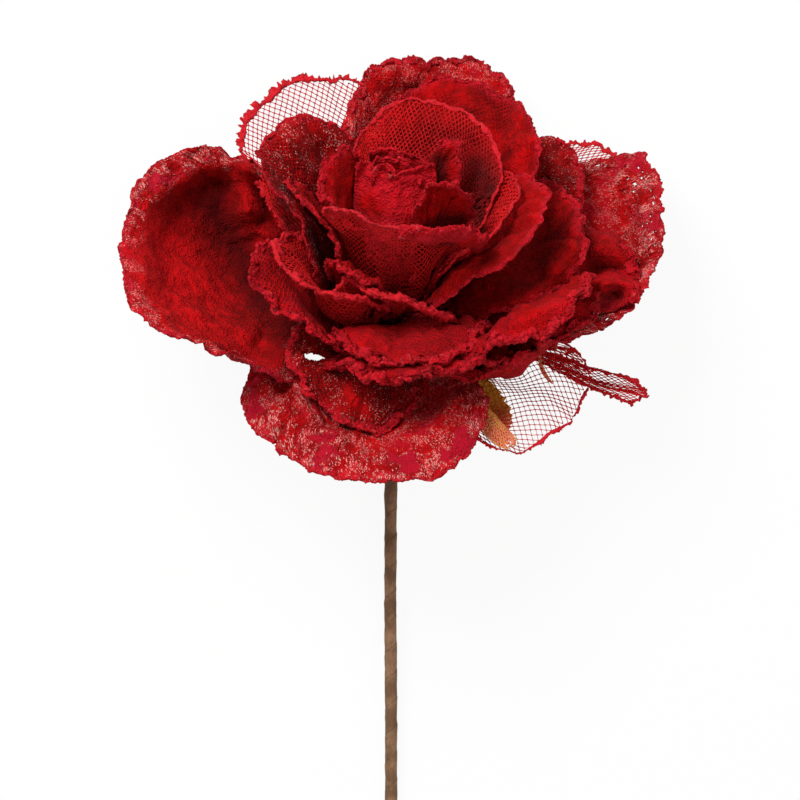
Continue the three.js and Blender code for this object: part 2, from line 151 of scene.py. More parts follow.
LOOKS = {
    "rolled_bud": dict(crumb=0.55, weave=0.1, tone=0.72, dark_to=84, dark_over=16, crumple=0.5, blush=0.9),
    "inner_petal_front": dict(crumb=0.5, weave=0.05, tone=0.6, outside=0.9, bumps=[(-0.2, 0.5, 4)]),
    "inner_petal_left": dict(crumb=0.8, weave=0.1, tone=0.5, outside=0.9),
    "inner_petal_folded": dict(crumb=0.45, weave=0.1, tone=0.5),
    "net_petal_front": dict(crumb=0.7, gap=3.4, pitch=2.5, thread=0.38, flat=0.3),
    "net_petal_back": dict(crumb=0.5, thread=0.33, pitch=1.85, ruffle=3.2, gap=2.0),
    "net_petal_right": dict(crumb=0.5, gap=1.6),
    "mid_petal_right": dict(crumb=0.4, weave=0.1, tone=0.45, crumple=0.6),
    "mid_petal_left": dict(crumb=0.8),
    "mid_petal_front_left": dict(crumb=1.05),
    "mid_petal_back_left": dict(crumb=0.4, weave=0.85, tone=0.5, crumple=0.7, sparkle=1.0, inside=1.0),
    "net_petal_low_front": dict(crumb=1.3, thread=0.46, pitch=2.5, gap=1.8),
    "net_petal_low_left": dict(crumb=1.1, thread=0.46, pitch=2.5, gap=1.8),
    "mid_petal_back": dict(crumb=0.6, weave=0.9, tone=0.4),
    "outer_petal_right_upper": dict(crumb=0.8, tone=0.45),
    "outer_petal_right_front": dict(crumb=1.15, tone=0.6, ruffle=3.8, curl=2.6, blush=0.35),
    "outer_petal_right": dict(crumb=1.2, tone=0.6, ruffle=3.8, curl=2.6, blush=0.35, crumple=1.5),
    "outer_petal_right_low": dict(
        crumb=1.1, tone=0.55, ruffle=2.2, curl=1.0, blush=0.35, bumps=[(-0.35, 0.8, -11), (-0.15, 0.2, -4)],
    ),
    "outer_petal_front_left": dict(crumb=1.2, weave=0.9, blush=0.3),
    "front_petal_upper": dict(crumb=1.3, ruffle=3.8, weave=0.7, curl=2.4, blush=0.3),
    "front_petal_lower": dict(crumb=1.25, ruffle=3.8, weave=0.6, curl=2.4, blush=0.3),
    "fold_petal_low_left": dict(
        crumb=0.8, weave=0.95, tone=0.45, sparkle=0.8, inside=1.0, dark_to=45, dark_over=25,
    ),
    "outer_petal_top": dict(
        crumb=0.9, matt=1, hollow=5.0, holes=0.0, sparkle=0.75, inside=0.4, tone=0.45,
        bumps=[(-0.1, 0.12, 2.5), (-0.45, 0.12, -3.5), (-0.8, 0.15, -2), (0.5, 0.08, 2), (0.18, 0.02, -4)],
    ),
    "outer_petal_top_right": dict(crumb=0.8, sparkle=1.0, inside=0.6, weave=0.6),
    "outer_petal_left": dict(
        hollow=14.0, holes=0.0, matt=1, band=11, dark_to=80, dark_over=34, weave=0.15, crumple=1.2,
        bumps=[(0.52, 0.2, 6), (-0.55, 0.3, -1), (0.85, 0.2, 5), (0.72, 0.12, 6)],
    ),
    "outer_petal_far_right": dict(
        hollow=5.0, holes=0.2, inside=0.6, sparkle=0.85,
        bumps=[
            (0.35, 0.22, 4), (0.46, 0.08, 5), (0.63, 0.06, -3), (0.85, 0.15, -4), (-0.4, 0.2, -4),
            (-0.95, 0.3, 13), (-0.76, 0.14, 5),
        ],
    ),
    "outer_petal_bottom": dict(
        hollow=4.0, holes=0.0, crumb=0.4, inside=0.6, band=17,
        bumps=[(-0.6, 0.3, -2.5), (-0.35, 0.22, -4.5), (-0.85, 0.12, 3), (0.5, 0.3, 2.5), (-0.45, 0.015, -5)],
        dark_to=45, dark_over=25,
    ),
    "net_petal_top_left": dict(
        OPEN_NET, crumb=0.68, tuft=2.2, bumps=[(-0.3, 0.7, 4), (0.6, 0.4, -3), (-0.7, 0.4, -3)],
        cut=TOP_LEFT_CUT,
    ),
    "net_petal_top_right": dict(OPEN_NET, crumb=0.6, tuft=1.5),
    "net_petal_bottom_right": dict(
        OPEN_NET, crumb=0.36, clumpy=2.4, thread=0.13, flat=1.3, tuft=0.9, inwards=1.1,
        bumps=[(0, 1, -2.5)], sewn_over=True,
    ),
    "gold_net_leaf": dict(thread=0.3, pitch=2.0, trim=(-1, 0.25)),
    "net_tail_right": dict(OPEN_NET, crumb=0.5, pitch=2.1, tuft=1.2, trim=(-0.4, 1), bumps=[(0, 9, -3)]),
}

# Torn holes that show what is behind, as seen from the front in units of PX: middle across and down, half
# width, half height and slope
HOLES = [(313.5, 357, 11.5, 4.0, 0.12)]

# Dimples, bulges and fold ridges pressed into petals, as seen from the front: height towards the viewer and
# half width in millimetres, then the ridge's line in units of PX, across from the left and down from the top
PRESSED = {
    "outer_petal_left": [
        (13, 5.5, [(247, 166), (249, 182), (250, 210)]),
        (3, 2.0, [(228, 240), (256, 231), (280, 236)]),
        (-7, 12, [(226, 250), (222, 300)]),
        (2.0, 1.6, [(150, 205), (186, 178)]),
        (-2.0, 1.8, [(190, 160), (225, 190)]),
        (3.0, 3.0, [(170, 300), (205, 318), (250, 335)]),
    ],
    "outer_petal_bottom": [
        (5, 2.4, [(282, 353), (297, 368), (304, 387), (316, 411), (321, 430), (354, 435)]),
        (-4, 7, [(340, 415), (385, 430)]),
        (3, 2.2, [(400, 440), (432, 424), (455, 400)]),
        (2.5, 2.0, [(262, 378), (284, 400), (292, 430)]),
    ],
    "outer_petal_far_right": [(-6, 9, [(606, 215), (612, 290)]), (3, 3, [(640, 190), (652, 250)])],
    "outer_petal_top": [
        (-5, 6, [(405, 95), (425, 105)]), (3.5, 3, [(388, 72), (402, 100)]), (3, 3, [(470, 85), (500, 115)]),
    ],
    "mid_petal_back_left": [(4, 4, [(288, 135), (306, 190)]), (-4, 4, [(322, 150), (328, 190)])],
    "net_petal_front": [(3, 2.5, [(396, 226), (440, 236), (480, 236)]), (-2.5, 5, [(350, 240), (380, 270)])],
    "net_petal_back": [(4, 4, [(484, 130), (476, 200)]), (-5, 6, [(462, 150), (468, 200)])],
    "mid_petal_back": [(4, 5, [(520, 120), (512, 170)]), (-4, 5, [(500, 110), (505, 150)])],
    "mid_petal_right": [(-2, 4, [(500, 200), (490, 260)])],
    "outer_petal_right": [
        (8, 3.0, [(596, 302), (601, 286), (612, 278), (626, 284), (640, 297)]),
        (-10, 4, [(608, 300), (618, 296)]),
        (6, 5, [(600, 246), (618, 254)]),
        (-6, 3, [(594, 268), (616, 268)]),
        (4, 3, [(640, 262), (636, 280)]),
    ],
    "outer_petal_right_upper": [
        (6, 4, [(578, 215), (570, 250), (545, 285), (520, 303)]),
        (-5, 5, [(548, 220), (535, 262)]),
        (4, 4, [(560, 180), (572, 205)]),
    ],
    "outer_petal_top_right": [(4, 4, [(545, 150), (560, 185)]), (-4, 4, [(562, 150), (574, 180)])],
    "outer_petal_right_front": [
        (5, 4, [(520, 318), (560, 305), (598, 290)]), (-5, 4, [(500, 300), (540, 285)]),
    ],
    "outer_petal_right_low": [(4, 3, [(480, 345), (530, 340), (580, 345)])],
    "front_petal_upper": [(5, 3.5, [(372, 358), (400, 366), (440, 372)])],
    "front_petal_lower": [
        (6, 3.5, [(366, 385), (390, 372), (420, 370), (448, 384)]), (-6, 4, [(385, 388), (420, 388)]),
    ],
    "fold_petal_low_left": [(5, 4, [(348, 352), (352, 400)]), (-4, 5, [(315, 360), (325, 400)])],
}

# Strokes of painted light and shade, as seen from the front: strength, half width in millimetres and line
PAINTED_SHADING = {
    "outer_petal_left": [
        (0.35, 17, [(165, 255), (185, 300)]),
        (-0.95, 10, [(212, 206), (238, 250), (262, 300)]),
        (0.3, 4, [(236, 338), (262, 346)]),
        (0.5, 4, [(246, 168), (248, 205)]),
        (-0.75, 1.8, [(262, 178), (264, 216), (256, 226)]),
        (-0.5, 1.2, [(229, 168), (233, 205)]),
    ],
    "mid_petal_front_left": [(0.3, 16, [(385, 315)])],
    "mid_petal_right": [(-0.95, 3.4, [(476, 198), (486, 226)]), (-0.35, 9, [(516, 252), (500, 275)])],
    "outer_petal_right_upper": [(-0.3, 6, [(540, 232), (528, 270), (505, 292)])],
    "inner_petal_folded": [(-0.98, 4.4, [(439, 160), (441, 194)])],
    "inner_petal_front": [(-0.3, 3, [(460, 215)]), (-0.95, 2.4, [(471, 196), (473, 216)])],
    "net_petal_back": [
        (-1.0, 9, [(476, 166), (490, 192), (487, 216)]), (-0.45, 12, [(440, 135), (485, 160)]),
    ],
    "outer_petal_top": [(0.22, 8, [(362, 96), (385, 78), (428, 70)]), (0.2, 5, [(455, 68), (500, 84)])],
    "net_petal_front": [(-0.8, 2.2, [(396, 222), (432, 241), (480, 244)])],
    "outer_petal_right": [
        (-0.95, 3.5, [(607, 300), (616, 296)]), (-0.6, 2, [(594, 268), (616, 268)]),
        (0.4, 3, [(598, 292), (610, 279), (636, 294)]),
    ],
    "outer_petal_right_front": [(-0.6, 4, [(505, 303), (545, 288)]), (0.35, 4, [(520, 320), (592, 290)])],
    "outer_petal_bottom": [
        (0.3, 14, [(380, 420), (440, 410)]), (-0.5, 1.6, [(298, 372), (312, 412), (322, 436)]),
    ],
    "front_petal_lower": [(-0.6, 3, [(385, 386), (425, 386)])],
    "front_petal_upper": [(0.5, 6, [(365, 318), (425, 316)])],
    "mid_petal_back_left": [
        (-0.85, 4.5, [(281, 192), (292, 228)]), (-0.98, 3.6, [(309, 230), (322, 266), (346, 290)]),
    ],
    "net_petal_top_left": [(-0.98, 4, [(284, 200), (291, 228)])],
    "net_petal_right": [(-0.98, 2.6, [(474, 196), (479, 214), (480, 232)])],
}

# Where the gold leaf shows through the net that it is sewn to
GILT = [
    (474, 372), (486, 374), (497, 387), (506, 402), (511, 416), (509, 440), (506, 447), (495, 440),
    (480, 428),
]


# Frames

def smooth(x):
    """x squared times (3 - 2 x), held between 0 and 1."""
    x = np.clip(x, 0, 1)
    return x * x * (3 - 2 * x)


def place(around, dist, off):
    """Point at dist from the ball: dist sin(off) out in the direction around, dist cos(off) up the axis."""
    across = dist * np.sin(off)
    return np.stack([across * np.cos(around), across * np.sin(around), dist * np.cos(off)], -1)


def polar(points):
    """The three numbers that place() turns into these points."""
    dist = np.linalg.norm(points, axis=-1)
    around = np.mod(np.arctan2(points[..., 1], points[..., 0]), 2 * math.pi)
    return around, dist, np.arccos(points[..., 2] / dist)


def to_picture(points):
    """Nods the bloom over by NOD degrees, so that the stem runs along -Y and Z comes towards the viewer."""
    c, s = math.cos(NOD * RAD), math.sin(NOD * RAD)
    x, y, z = points[..., 0], points[..., 1], points[..., 2]
    return np.stack([x, z * c + y * s, z * s - y * c], -1)


def picture_to_part(points):
    """Lays the picture frame's points on the floor, in metres."""
    return (points @ LIE.T + BALL_AT) * MM


def lay_down(points):
    """Bloom's own frame to the part's."""
    return picture_to_part(to_picture(points))


# Camera: straight above the picture plane and framed as the photograph is. PX is what one of the frame's 800
# units stands for in millimetres, and BASE_SEEN is where the middle of the bloom's base is seen, across and
# down.
PX = 0.4
FRAME = 800
BASE_SEEN = (391, 312)
BASE_HEIGHT = 20
VIEW_DISTANCE = 1600
SENSOR = 36
CLIP_METRES = 20
BALL_TO_BASE = np.array([0, BASE_HEIGHT * math.cos(NOD * RAD), BASE_HEIGHT * math.sin(NOD * RAD)])
TOWARD_VIEWER = np.array([0.0, -math.cos(NOD * RAD), math.sin(NOD * RAD)])
FRAME_MIDDLE = np.array([(FRAME / 2 - BASE_SEEN[0]) * PX, (BASE_SEEN[1] - FRAME / 2) * PX, 0])
eye = picture_to_part(BALL_TO_BASE + np.array([0, 0, VIEW_DISTANCE]))
aim = picture_to_part(BALL_TO_BASE + FRAME_MIDDLE)
back = (eye - aim) / np.linalg.norm(eye - aim)
up = LIE @ np.array([0.0, 1.0, 0.0])
right = np.cross(up, back)
right /= np.linalg.norm(right)
up = np.cross(back, right)
lens = bpy.data.cameras.new("camera")
lens.sensor_width = SENSOR
lens.lens = SENSOR * np.linalg.norm(eye - aim) / (FRAME * PX * MM)
lens.clip_end = CLIP_METRES
camera = bpy.data.objects.new("camera", lens)
turn = np.eye(4)
turn[:3, 0], turn[:3, 1], turn[:3, 2], turn[:3, 3] = right, up, back, eye
camera.matrix_world = turn.T.tolist()
bpy.context.scene.collection.objects.link(camera)
bpy.context.scene.camera = camera


# Random fields that are the same on each run

# Corners across and deep after which a field repeats
TABLE = 64
TABLE_DEPTH = 16


def field(seed, x, y, z=0.0):
    """Random numbers from -1 to 1 on the corners of a unit lattice, read between them with smooth()
    weights."""
    table = np.random.default_rng(seed).uniform(-1, 1, (TABLE, TABLE, TABLE_DEPTH))
    x, y, z = np.broadcast_arrays(x, y, z)
    total = 0
    ix, iy, iz = (np.floor(t).astype(int) for t in (x, y, z))
    fx, fy, fz = smooth(x - ix), smooth(y - iy), smooth(z - iz)
    for dx in (0, 1):
        for dy in (0, 1):
            for dz in (0, 1):
                weight = abs(1 - dx - fx) * abs(1 - dy - fy) * abs(1 - dz - fz)
                total = total + weight * table[(ix + dx) % TABLE, (iy + dy) % TABLE, (iz + dz) % TABLE_DEPTH]
    return total


def rough(seed, points, size, octaves=3):
    """Sum of fields in space, each half the size and 0.55 the height of the one before; size in
    millimetres."""
    total, height, scale = 0, 1.0, 1.0 / size
    for k in range(octaves):
        p = points * scale + 7.3 * k
        total = total + height * field(seed + k, p[..., 0], p[..., 1], p[..., 2])
        height *= 0.55
        scale *= 2.03
    return total


# Surfaces

def core_reach(off):
    """Distance from the ball's middle to the glue core's surface, falling smoothly from its top to the
    ball."""
    share = (off / RAD - CORE_SHOULDER) / (CORE_WAIST - CORE_SHOULDER)
    return CORE_HEIGHT - (CORE_HEIGHT - BALL_RADIUS) * smooth(share)


def spacing(dist):
    """Distance of one layer's middle from the next, growing from the ball outwards."""
    return LAYER_NEAR + (LAYER_FAR - LAYER_NEAR) * smooth((dist - LAYER_GROWS_FROM) / LAYER_GROWS_OVER)


def petal_net(around, half, reach, drop, root, lean, square=2.6, side=0, tilt=0, skew=0, cup=0):
    """Coarse middle surface: u across from -1 to 1, v from root to rim. The rim's distance falls by drop
    |u|^square and grows by skew u. The angle off the axis grows from root to lean with the 1.3th power of the
    way out, and side, tilt and cup bend it at the flanks, from flank to flank and in the middle. Wide petals
    have more corners."""
    across, along = (10, 6) if half > 25 else (8, 5)
    start = core_reach(root * RAD) + 2 * SHEET
    full = reach * GROWTH
    u, v = np.meshgrid(np.linspace(-1, 1, across + 1), np.linspace(0, 1, along + 1), indexing="ij")
    rim = full * (1 - drop * np.abs(u) ** square) * (1 + skew * u)
    dist = start + (rim - start) * v
    azimuth = around + half * u * (0.35 + 0.65 * smooth(v * 1.05))
    part = np.maximum(0, (dist - start) / (full - start))
    bend = (side * u * u + tilt * u) * v**1.5 + 4 * cup * v * (1 - v) * (1 - u * u)
    off = root + (lean - root) * part**1.3 + bend
    return place(azimuth * RAD, dist, off * RAD)


def bud_surface(u, v):
    """Rolled sheet: u along the roll, v upwards. The radius grows with u^0.6 and swells with a sine of v."""
    base = CORE_HEIGHT + FIT
    azimuth = (BUD_START + 360 * BUD_TURNS * u) * RAD
    full = 3 + (BUD_RADIUS - 3) * u**0.6
    top = BUD_TOP * GROWTH - 5 * u
    swell = 0.22 + 0.78 * np.abs(np.sin(v * math.pi * 0.62)) ** 0.9
    out = 2.2 + (full - 2.2) * swell
    return np.stack([out * np.cos(azimuth), out * np.sin(azimuth), base + (top - base) * v], -1)


# The record of layers ends at this distance from the ball. Angles off the axis are in radians here; a place
# that nothing has reached yet has NOTHING_LAID, and is read as LEAST_OFF where its neighbours are empty too.
# MOST_OFF is as far off the axis as a petal is turned.
LAYERS_END = 150
NOTHING_LAID = -9.0
LEAST_OFF = -0.6
MOST_OFF = 2.3


class Layers:
    """How far off the axis the layers laid so far reach, by direction and distance."""

    def __init__(self, turns, rings):
        self.turns, self.rings = turns, rings
        self.far = LAYERS_END * GROWTH
        dist = (np.arange(rings) + 0.5) / rings * self.far
        offs = np.arange(CORE_WAIST * RAD, 0, -0.01)
        first = np.argmax(core_reach(offs)[None, :] >= dist[:, None], axis=1)
        self.off = np.tile(np.where(dist < CORE_HEIGHT, offs[first], NOTHING_LAID), (turns, 1))

    def lay(self, points, k, gone=None):
        """Records a layer, without the part that is seen from the front inside the outline gone."""
        spots = between(points, k).reshape(-1, 3)
        if gone:
            spots = spots[~inside_of(*seen_at(spots), gone)]
        around, dist, off = polar(spots)
        t = np.floor(around / (2 * math.pi) * self.turns).astype(int) % self.turns
        r = np.minimum(self.rings - 1, np.floor(dist / self.far * self.rings).astype(int))
        np.maximum.at(self.off, (t, r), off)

    def at(self, around, dist):
        """Reach at each place, straight between the records around; an empty one takes the most of its
        neighbours."""
        near = np.pad(self.off, ((1, 1), (0, 0)), mode="wrap")
        near = np.pad(near, ((0, 0), (1, 1)), mode="edge")
        best = np.full(self.off.shape, LEAST_OFF)
        for a in (0, 1, 2):
            for b in (0, 1, 2):
                best = np.maximum(best, near[a : a + self.turns, b : b + self.rings])
        full = np.where(self.off > NOTHING_LAID, self.off, best)
        x = around / (2 * math.pi) * self.turns - 0.5
        y = dist / self.far * self.rings - 0.5
        i, j = np.floor(x).astype(int), np.floor(y).astype(int)
        fx, fy = x - i, y - j
        total = 0
        for a in (0, 1):
            for b in (0, 1):
                ring = np.clip(j + b, 0, self.rings - 1)
                total = total + abs(1 - a - fx) * abs(1 - b - fy) * full[(i + a) % self.turns, ring]
        return total


def between(net, k):
    """Straight steps between a net's points, k to each side of a quad."""
    for axis in (0, 1):
        n = net.shape[axis] - 1
        spot = np.arange(n * k + 1) / k
        i = np.minimum(np.floor(spot).astype(int), n - 1)
        f = spot - i
        f = f[:, None, None] if axis == 0 else f[None, :, None]
        net = np.take(net, i, axis) * (1 - f) + np.take(net, i + 1, axis) * f
    return net


def seat(net, layers):
    """Lowers a petal's root until it rests on the layers inside it."""
    around, dist, off = polar(net[:, :3])
    room = (off - layers.at(around, dist) - spacing(dist) / dist).min()
    if room > 0:
        fade = (1 - np.arange(3) / 3) ** 1.5
        net = net.copy()
        net[:, :3] = place(around, dist, off - room * fade[None, :])
    return net


def clear(net, layers):
    """Turns a net's corners outwards, least movement first, until it clears the layers inside it at k places
    to each side of a quad."""
    k, rounds = 6, 8
    nu, nv = net.shape[0] - 1, net.shape[1] - 1
    a, b = np.arange(nu * k + 1) / k, np.arange(nv * k + 1) / k
    i, j = np.minimum(a.astype(int), nu - 1), np.minimum(b.astype(int), nv - 1)
    fa, fb = (a - i)[:, None], (b - j)[None, :]
    shares = {(0, 0): (1 - fa) * (1 - fb), (1, 0): fa * (1 - fb), (0, 1): (1 - fa) * fb, (1, 1): fa * fb}
    total = sum(w * w for w in shares.values())
    for _ in range(rounds):
        around, dist, off = polar(between(net, k))
        need = np.maximum(0, layers.at(around, dist) + spacing(dist) / dist - off)
        move = np.zeros((nu + 1, nv + 1))
        for (da, db), w in shares.items():
            spots = np.broadcast_arrays((i + da)[:, None], (j + db)[None, :])
            np.maximum.at(move, tuple(spots), need * w / total)
        around, dist, off = polar(net)
        net = place(around, dist, np.minimum(MOST_OFF, off + move))
    return net


def root_on_core(net):
    """Ends a petal's root row on the glue core, with the clearance square to its surface."""
    around, dist, off = polar(net[:, 0])
    slope = (core_reach(off + 0.01) - core_reach(off - 0.01)) / 0.02 / dist
    net = net.copy()
    net[:, 0] = place(around, core_reach(off) + (FIT + SHEET / 2) * np.hypot(1, slope), off)
    return net


def cubic(count, spots):
    """Matrix that reads a row of points at the given spots with a smooth cubic filter. Ends go on
    straight."""
    base = np.clip(np.floor(spots).astype(int), 0, count - 2)
    matrix = np.zeros((len(spots), count + 2))
    rows = np.arange(len(spots))
    for step in (-1, 0, 1, 2):
        d = np.abs(spots - base - step)
        near = (7 * d**3 - 12 * d**2 + 16 / 3) / 6
        far = (-7 / 3 * d**3 + 12 * d**2 - 20 * d + 32 / 3) / 6
        matrix[rows, base + step + 1] += np.where(d < 1, near, np.where(d < 2, far, 0))
    inner = matrix[:, 1:-1].copy()
    inner[:, 0] += 2 * matrix[:, 0]
    inner[:, 1] -= matrix[:, 0]
    inner[:, -1] += 2 * matrix[:, -1]
    inner[:, -2] -= matrix[:, -1]
    return inner


def finer(net, u, v):
    """Smooth surface through a coarse net, read at u from -1 to 1 and v from 0 to 1."""
    across = cubic(net.shape[0], (u + 1) / 2 * (net.shape[0] - 1))
    along = cubic(net.shape[1], v * (net.shape[1] - 1))
    return np.einsum("ai,ijk,bj->abk", across, net, along)


def unit(vectors):
    """Each vector divided by its length."""
    return vectors / np.maximum(1e-9, np.linalg.norm(vectors, axis=-1, keepdims=True))


def normals(points):
    """Unit cross product of the two grid directions; points outwards from the bloom's axis."""
    return unit(np.cross(np.gradient(points, axis=0), np.gradient(points, axis=1)))


def lengths(points, axis):
    """Distance run along a grid direction from its first row."""
    step = np.linalg.norm(np.diff(points, axis=axis), axis=-1)
    first = np.zeros_like(np.take(step, [0], axis))
    return np.concatenate([first, np.cumsum(step, axis)], axis)


# The corner between rim and side begins where both are this near, and is rounded off over this much
CORNER_REACH = 9
CORNER_ROUND = 6.0


def edge_distance(points):
    """Distance to the nearest of the rim and the two sides, with the corner between them rounded off."""
    down = lengths(points, 1)
    rim = down[:, -1:] - down
    over = lengths(points, 0)
    flank = np.minimum(over, over[-1:] - over)
    corner = (rim < CORNER_REACH) & (flank < CORNER_REACH)
    rounded = np.maximum(0, CORNER_ROUND - np.abs(rim - flank)) ** 2 / CORNER_ROUND
    return np.minimum(rim, flank) - 0.25 * rounded * corner


# Meshes

def make_mesh(name, points, faces, uv=None, marks=None):
    """Mesh from an array of points in metres and one of faces with four corners, without the points that no
    face uses. uv and marks have a row for each point."""
    used, faces = np.unique(faces, return_inverse=True)
    faces = faces.reshape(-1, 4)
    points = points[used]
    mesh = bpy.data.meshes.new(name)
    mesh.vertices.add(len(points))
    mesh.vertices.foreach_set("co", points.astype(np.float32).ravel())
    mesh.loops.add(faces.size)
    mesh.loops.foreach_set("vertex_index", faces.astype(np.int32).ravel())
    mesh.polygons.add(len(faces))
    mesh.polygons.foreach_set("loop_start", np.arange(0, faces.size, 4, dtype=np.int32))
    mesh.polygons.foreach_set("use_smooth", np.ones(len(faces), bool))
    if uv is not None:
        layer = mesh.uv_layers.new(name="flat")
        layer.data.foreach_set("uv", uv[used][faces.ravel()].astype(np.float32).ravel())
    for mark, values in (marks or {}).items():
        data = mesh.attributes.new(mark, "FLOAT", "POINT")
        data.data.foreach_set("value", values[used].astype(np.float32))
    mesh.update(calc_edges=True)
    mesh.validate()
    return mesh


def add_piece(name, mesh, node, material):
    """Links a piece, gives it its finish and hides the solid of the node it stands for."""
    piece = bpy.data.objects.new(name, mesh)
    bpy.context.scene.collection.objects.link(piece)
    mesh.materials.append(material)
    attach(piece, "root")
    if node:
        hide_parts(node)
    return piece


def two_sided(points, thick, keep=None):
    """Closed sheet: both faces half a thickness off the middle surface, and walls wherever a kept quad has no
    kept neighbour. Returns points and quads."""
    nu, nv = points.shape[:2]
    off = normals(points) * thick[..., None] / 2
    both = np.concatenate([(points + off).reshape(-1, 3), (points - off).reshape(-1, 3)])
    keep = np.ones((nu - 1, nv - 1), bool) if keep is None else keep
    index = np.arange(nu * nv).reshape(nu, nv)
    a, b, c, d = index[:-1, :-1], index[1:, :-1], index[1:, 1:], index[:-1, 1:]
    other = nu * nv
    top = np.stack([a, b, c, d], -1)[keep]
    under = np.stack([a, d, c, b], -1)[keep] + other
    room = np.pad(keep, 1)
    walls = []
    for p, q, beside in (
        (a, b, room[1:-1, :-2]),
        (b, c, room[2:, 1:-1]),
        (c, d, room[1:-1, 2:]),
        (d, a, room[:-2, 1:-1]),
    ):
        bare = keep & ~beside
        walls.append(np.stack([p[bare], p[bare] + other, q[bare] + other, q[bare]], -1))
    return both, np.concatenate([top, under, *walls])


def rods(start, end, side, normal, radius, flare, flat):
    """Closed rods from start to end, thinner in the middle: rings of four corners in the plane of side and
    normal, flat times as thick as they are wide, and a quad at each end."""
    sides = 4
    angle = (np.arange(sides) + 0.5) * 2 * math.pi / sides
    across, thick = np.cos(angle)[None, :, None], flat * np.sin(angle)[None, :, None]
    ring = radius * (across * side[:, None, :] + thick * normal[:, None, :])
    rings = [(0.0, flare), (0.5, 0.85), (1.0, flare)]
    points = np.concatenate([(start + (end - start) * at)[:, None] + ring * fat for at, fat in rings], axis=1)
    k = np.arange(sides)
    wall = np.stack([k, (k + 1) % sides, (k + 1) % sides + sides, k + sides], -1)
    last = 2 * sides
    faces = np.concatenate([wall, wall + sides, [[3, 2, 1, 0], [last, last + 1, last + 2, last + 3]]])
    faces = faces[None] + (np.arange(len(start)) * 3 * sides)[:, None, None]
    return points.reshape(-1, 3), faces.reshape(-1, 4)


def tube(path, radius, sides, normal):
    """Closed tube along a path: rings across it, turned with the given normals, and quads across the ring at
    each end."""
    ahead = unit(np.gradient(path, axis=0))
    side = unit(np.cross(ahead, normal))
    over = np.cross(side, ahead)
    angle = np.arange(sides) * 2 * math.pi / sides
    ring = np.cos(angle)[None, :, None] * side[:, None] + np.sin(angle)[None, :, None] * over[:, None]
    points = path[:, None] + ring * radius[..., None]
    count = len(path)
    index = np.arange(count * sides).reshape(count, sides)
    after = np.roll(index, -1, axis=1)
    faces = np.stack([index[:-1], index[1:], after[1:], after[:-1]], -1).reshape(-1, 4)
    caps = []
    for row, way in ((index[0], 1), (index[-1], -1)):
        half = sides // 2
        k = np.arange(half - 1)
        quad = np.stack([row[k], row[k + 1], row[(sides - 2 - k) % sides], row[(sides - 1 - k) % sides]], -1)
        caps.append(quad[:, ::way])
    return points.reshape(-1, 3), np.concatenate([faces, *caps])


# Materials

def srgb(r, g, b):
    """Colour as it looks, 0 to 255, to the linear one that a shader takes."""
    linear = [((c / 255 + 0.055) / 1.055) ** 2.4 if c > 10 else c / 255 / 12.92 for c in (r, g, b)]
    return (*linear, 1.0)


class Net:
    """Short way to add nodes and links to a node tree."""

    def __init__(self, tree):
        self.tree = tree

    def add(self, kind, values=None, **settings):
        node = self.tree.nodes.new(kind)
        for key, value in settings.items():
            setattr(node, key, value)
        for key, value in (values or {}).items():
            if isinstance(value, bpy.types.NodeSocket):
                self.tree.links.new(value, node.inputs[key])
            else:
                node.inputs[key].default_value = value
        return node

    def math(self, operation, a, b=0.0, c=0.0, clamp=False):
        return self.add("ShaderNodeMath", {0: a, 1: b, 2: c}, operation=operation, use_clamp=clamp).outputs[0]

    def times(self, a, b, clamp=False):
        return self.math("MULTIPLY", a, b, clamp=clamp)

    def times_plus(self, a, b, c, clamp=False):
        return self.math("MULTIPLY_ADD", a, b, c, clamp)

    def plus(self, a, b):
        return self.math("ADD", a, b)

    def minus(self, a, b, clamp=False):
        return self.math("SUBTRACT", a, b, clamp=clamp)

    def most(self, a, b):
        return self.math("MAXIMUM", a, b)

    def vector(self, operation, a, b, c=(0.0, 0.0, 0.0)):
        return self.add("ShaderNodeVectorMath", {0: a, 1: b, 2: c}, operation=operation).outputs[0]

    def noise(self, vector, scale, detail, roughness=0.5):
        values = {"Vector": vector, "Scale": scale, "Detail": detail, "Roughness": roughness}
        return self.add("ShaderNodeTexNoise", values).outputs[0]

    def spot(self):
        return self.add("ShaderNodeTexCoord").outputs["Object"]

    def flat(self):
        return self.add("ShaderNodeUVMap", uv_map="flat").outputs[0]

    def ramp(self, value, low, high, to_low=0.0, to_high=1.0):
        names = {"Value": value, "From Min": low, "From Max": high, "To Min": to_low, "To Max": to_high}
        return self.add("ShaderNodeMapRange", names, interpolation_type="SMOOTHSTEP").outputs[0]

    def mix(self, share, a, b):
        return self.add("ShaderNodeMix", {0: share, 6: a, 7: b}, data_type="RGBA").outputs[2]


def group(name, inputs, outputs, build):
    """Node group with named inputs and outputs; build() gets them and returns the outputs' sockets."""
    tree = bpy.data.node_groups.new(name, "ShaderNodeTree")
    for label, value in inputs.items():
        socket = tree.interface.new_socket(label, in_out="INPUT", socket_type="NodeSocketFloat")
        socket.default_value = value
    for label in outputs:
        tree.interface.new_socket(label, in_out="OUTPUT", socket_type="NodeSocketFloat")
    net = Net(tree)
    source = net.add("NodeGroupInput")
    sink = net.add("NodeGroupOutput")
    for label, socket in build(net, source).items():
        tree.links.new(socket, sink.inputs[label])
    return tree


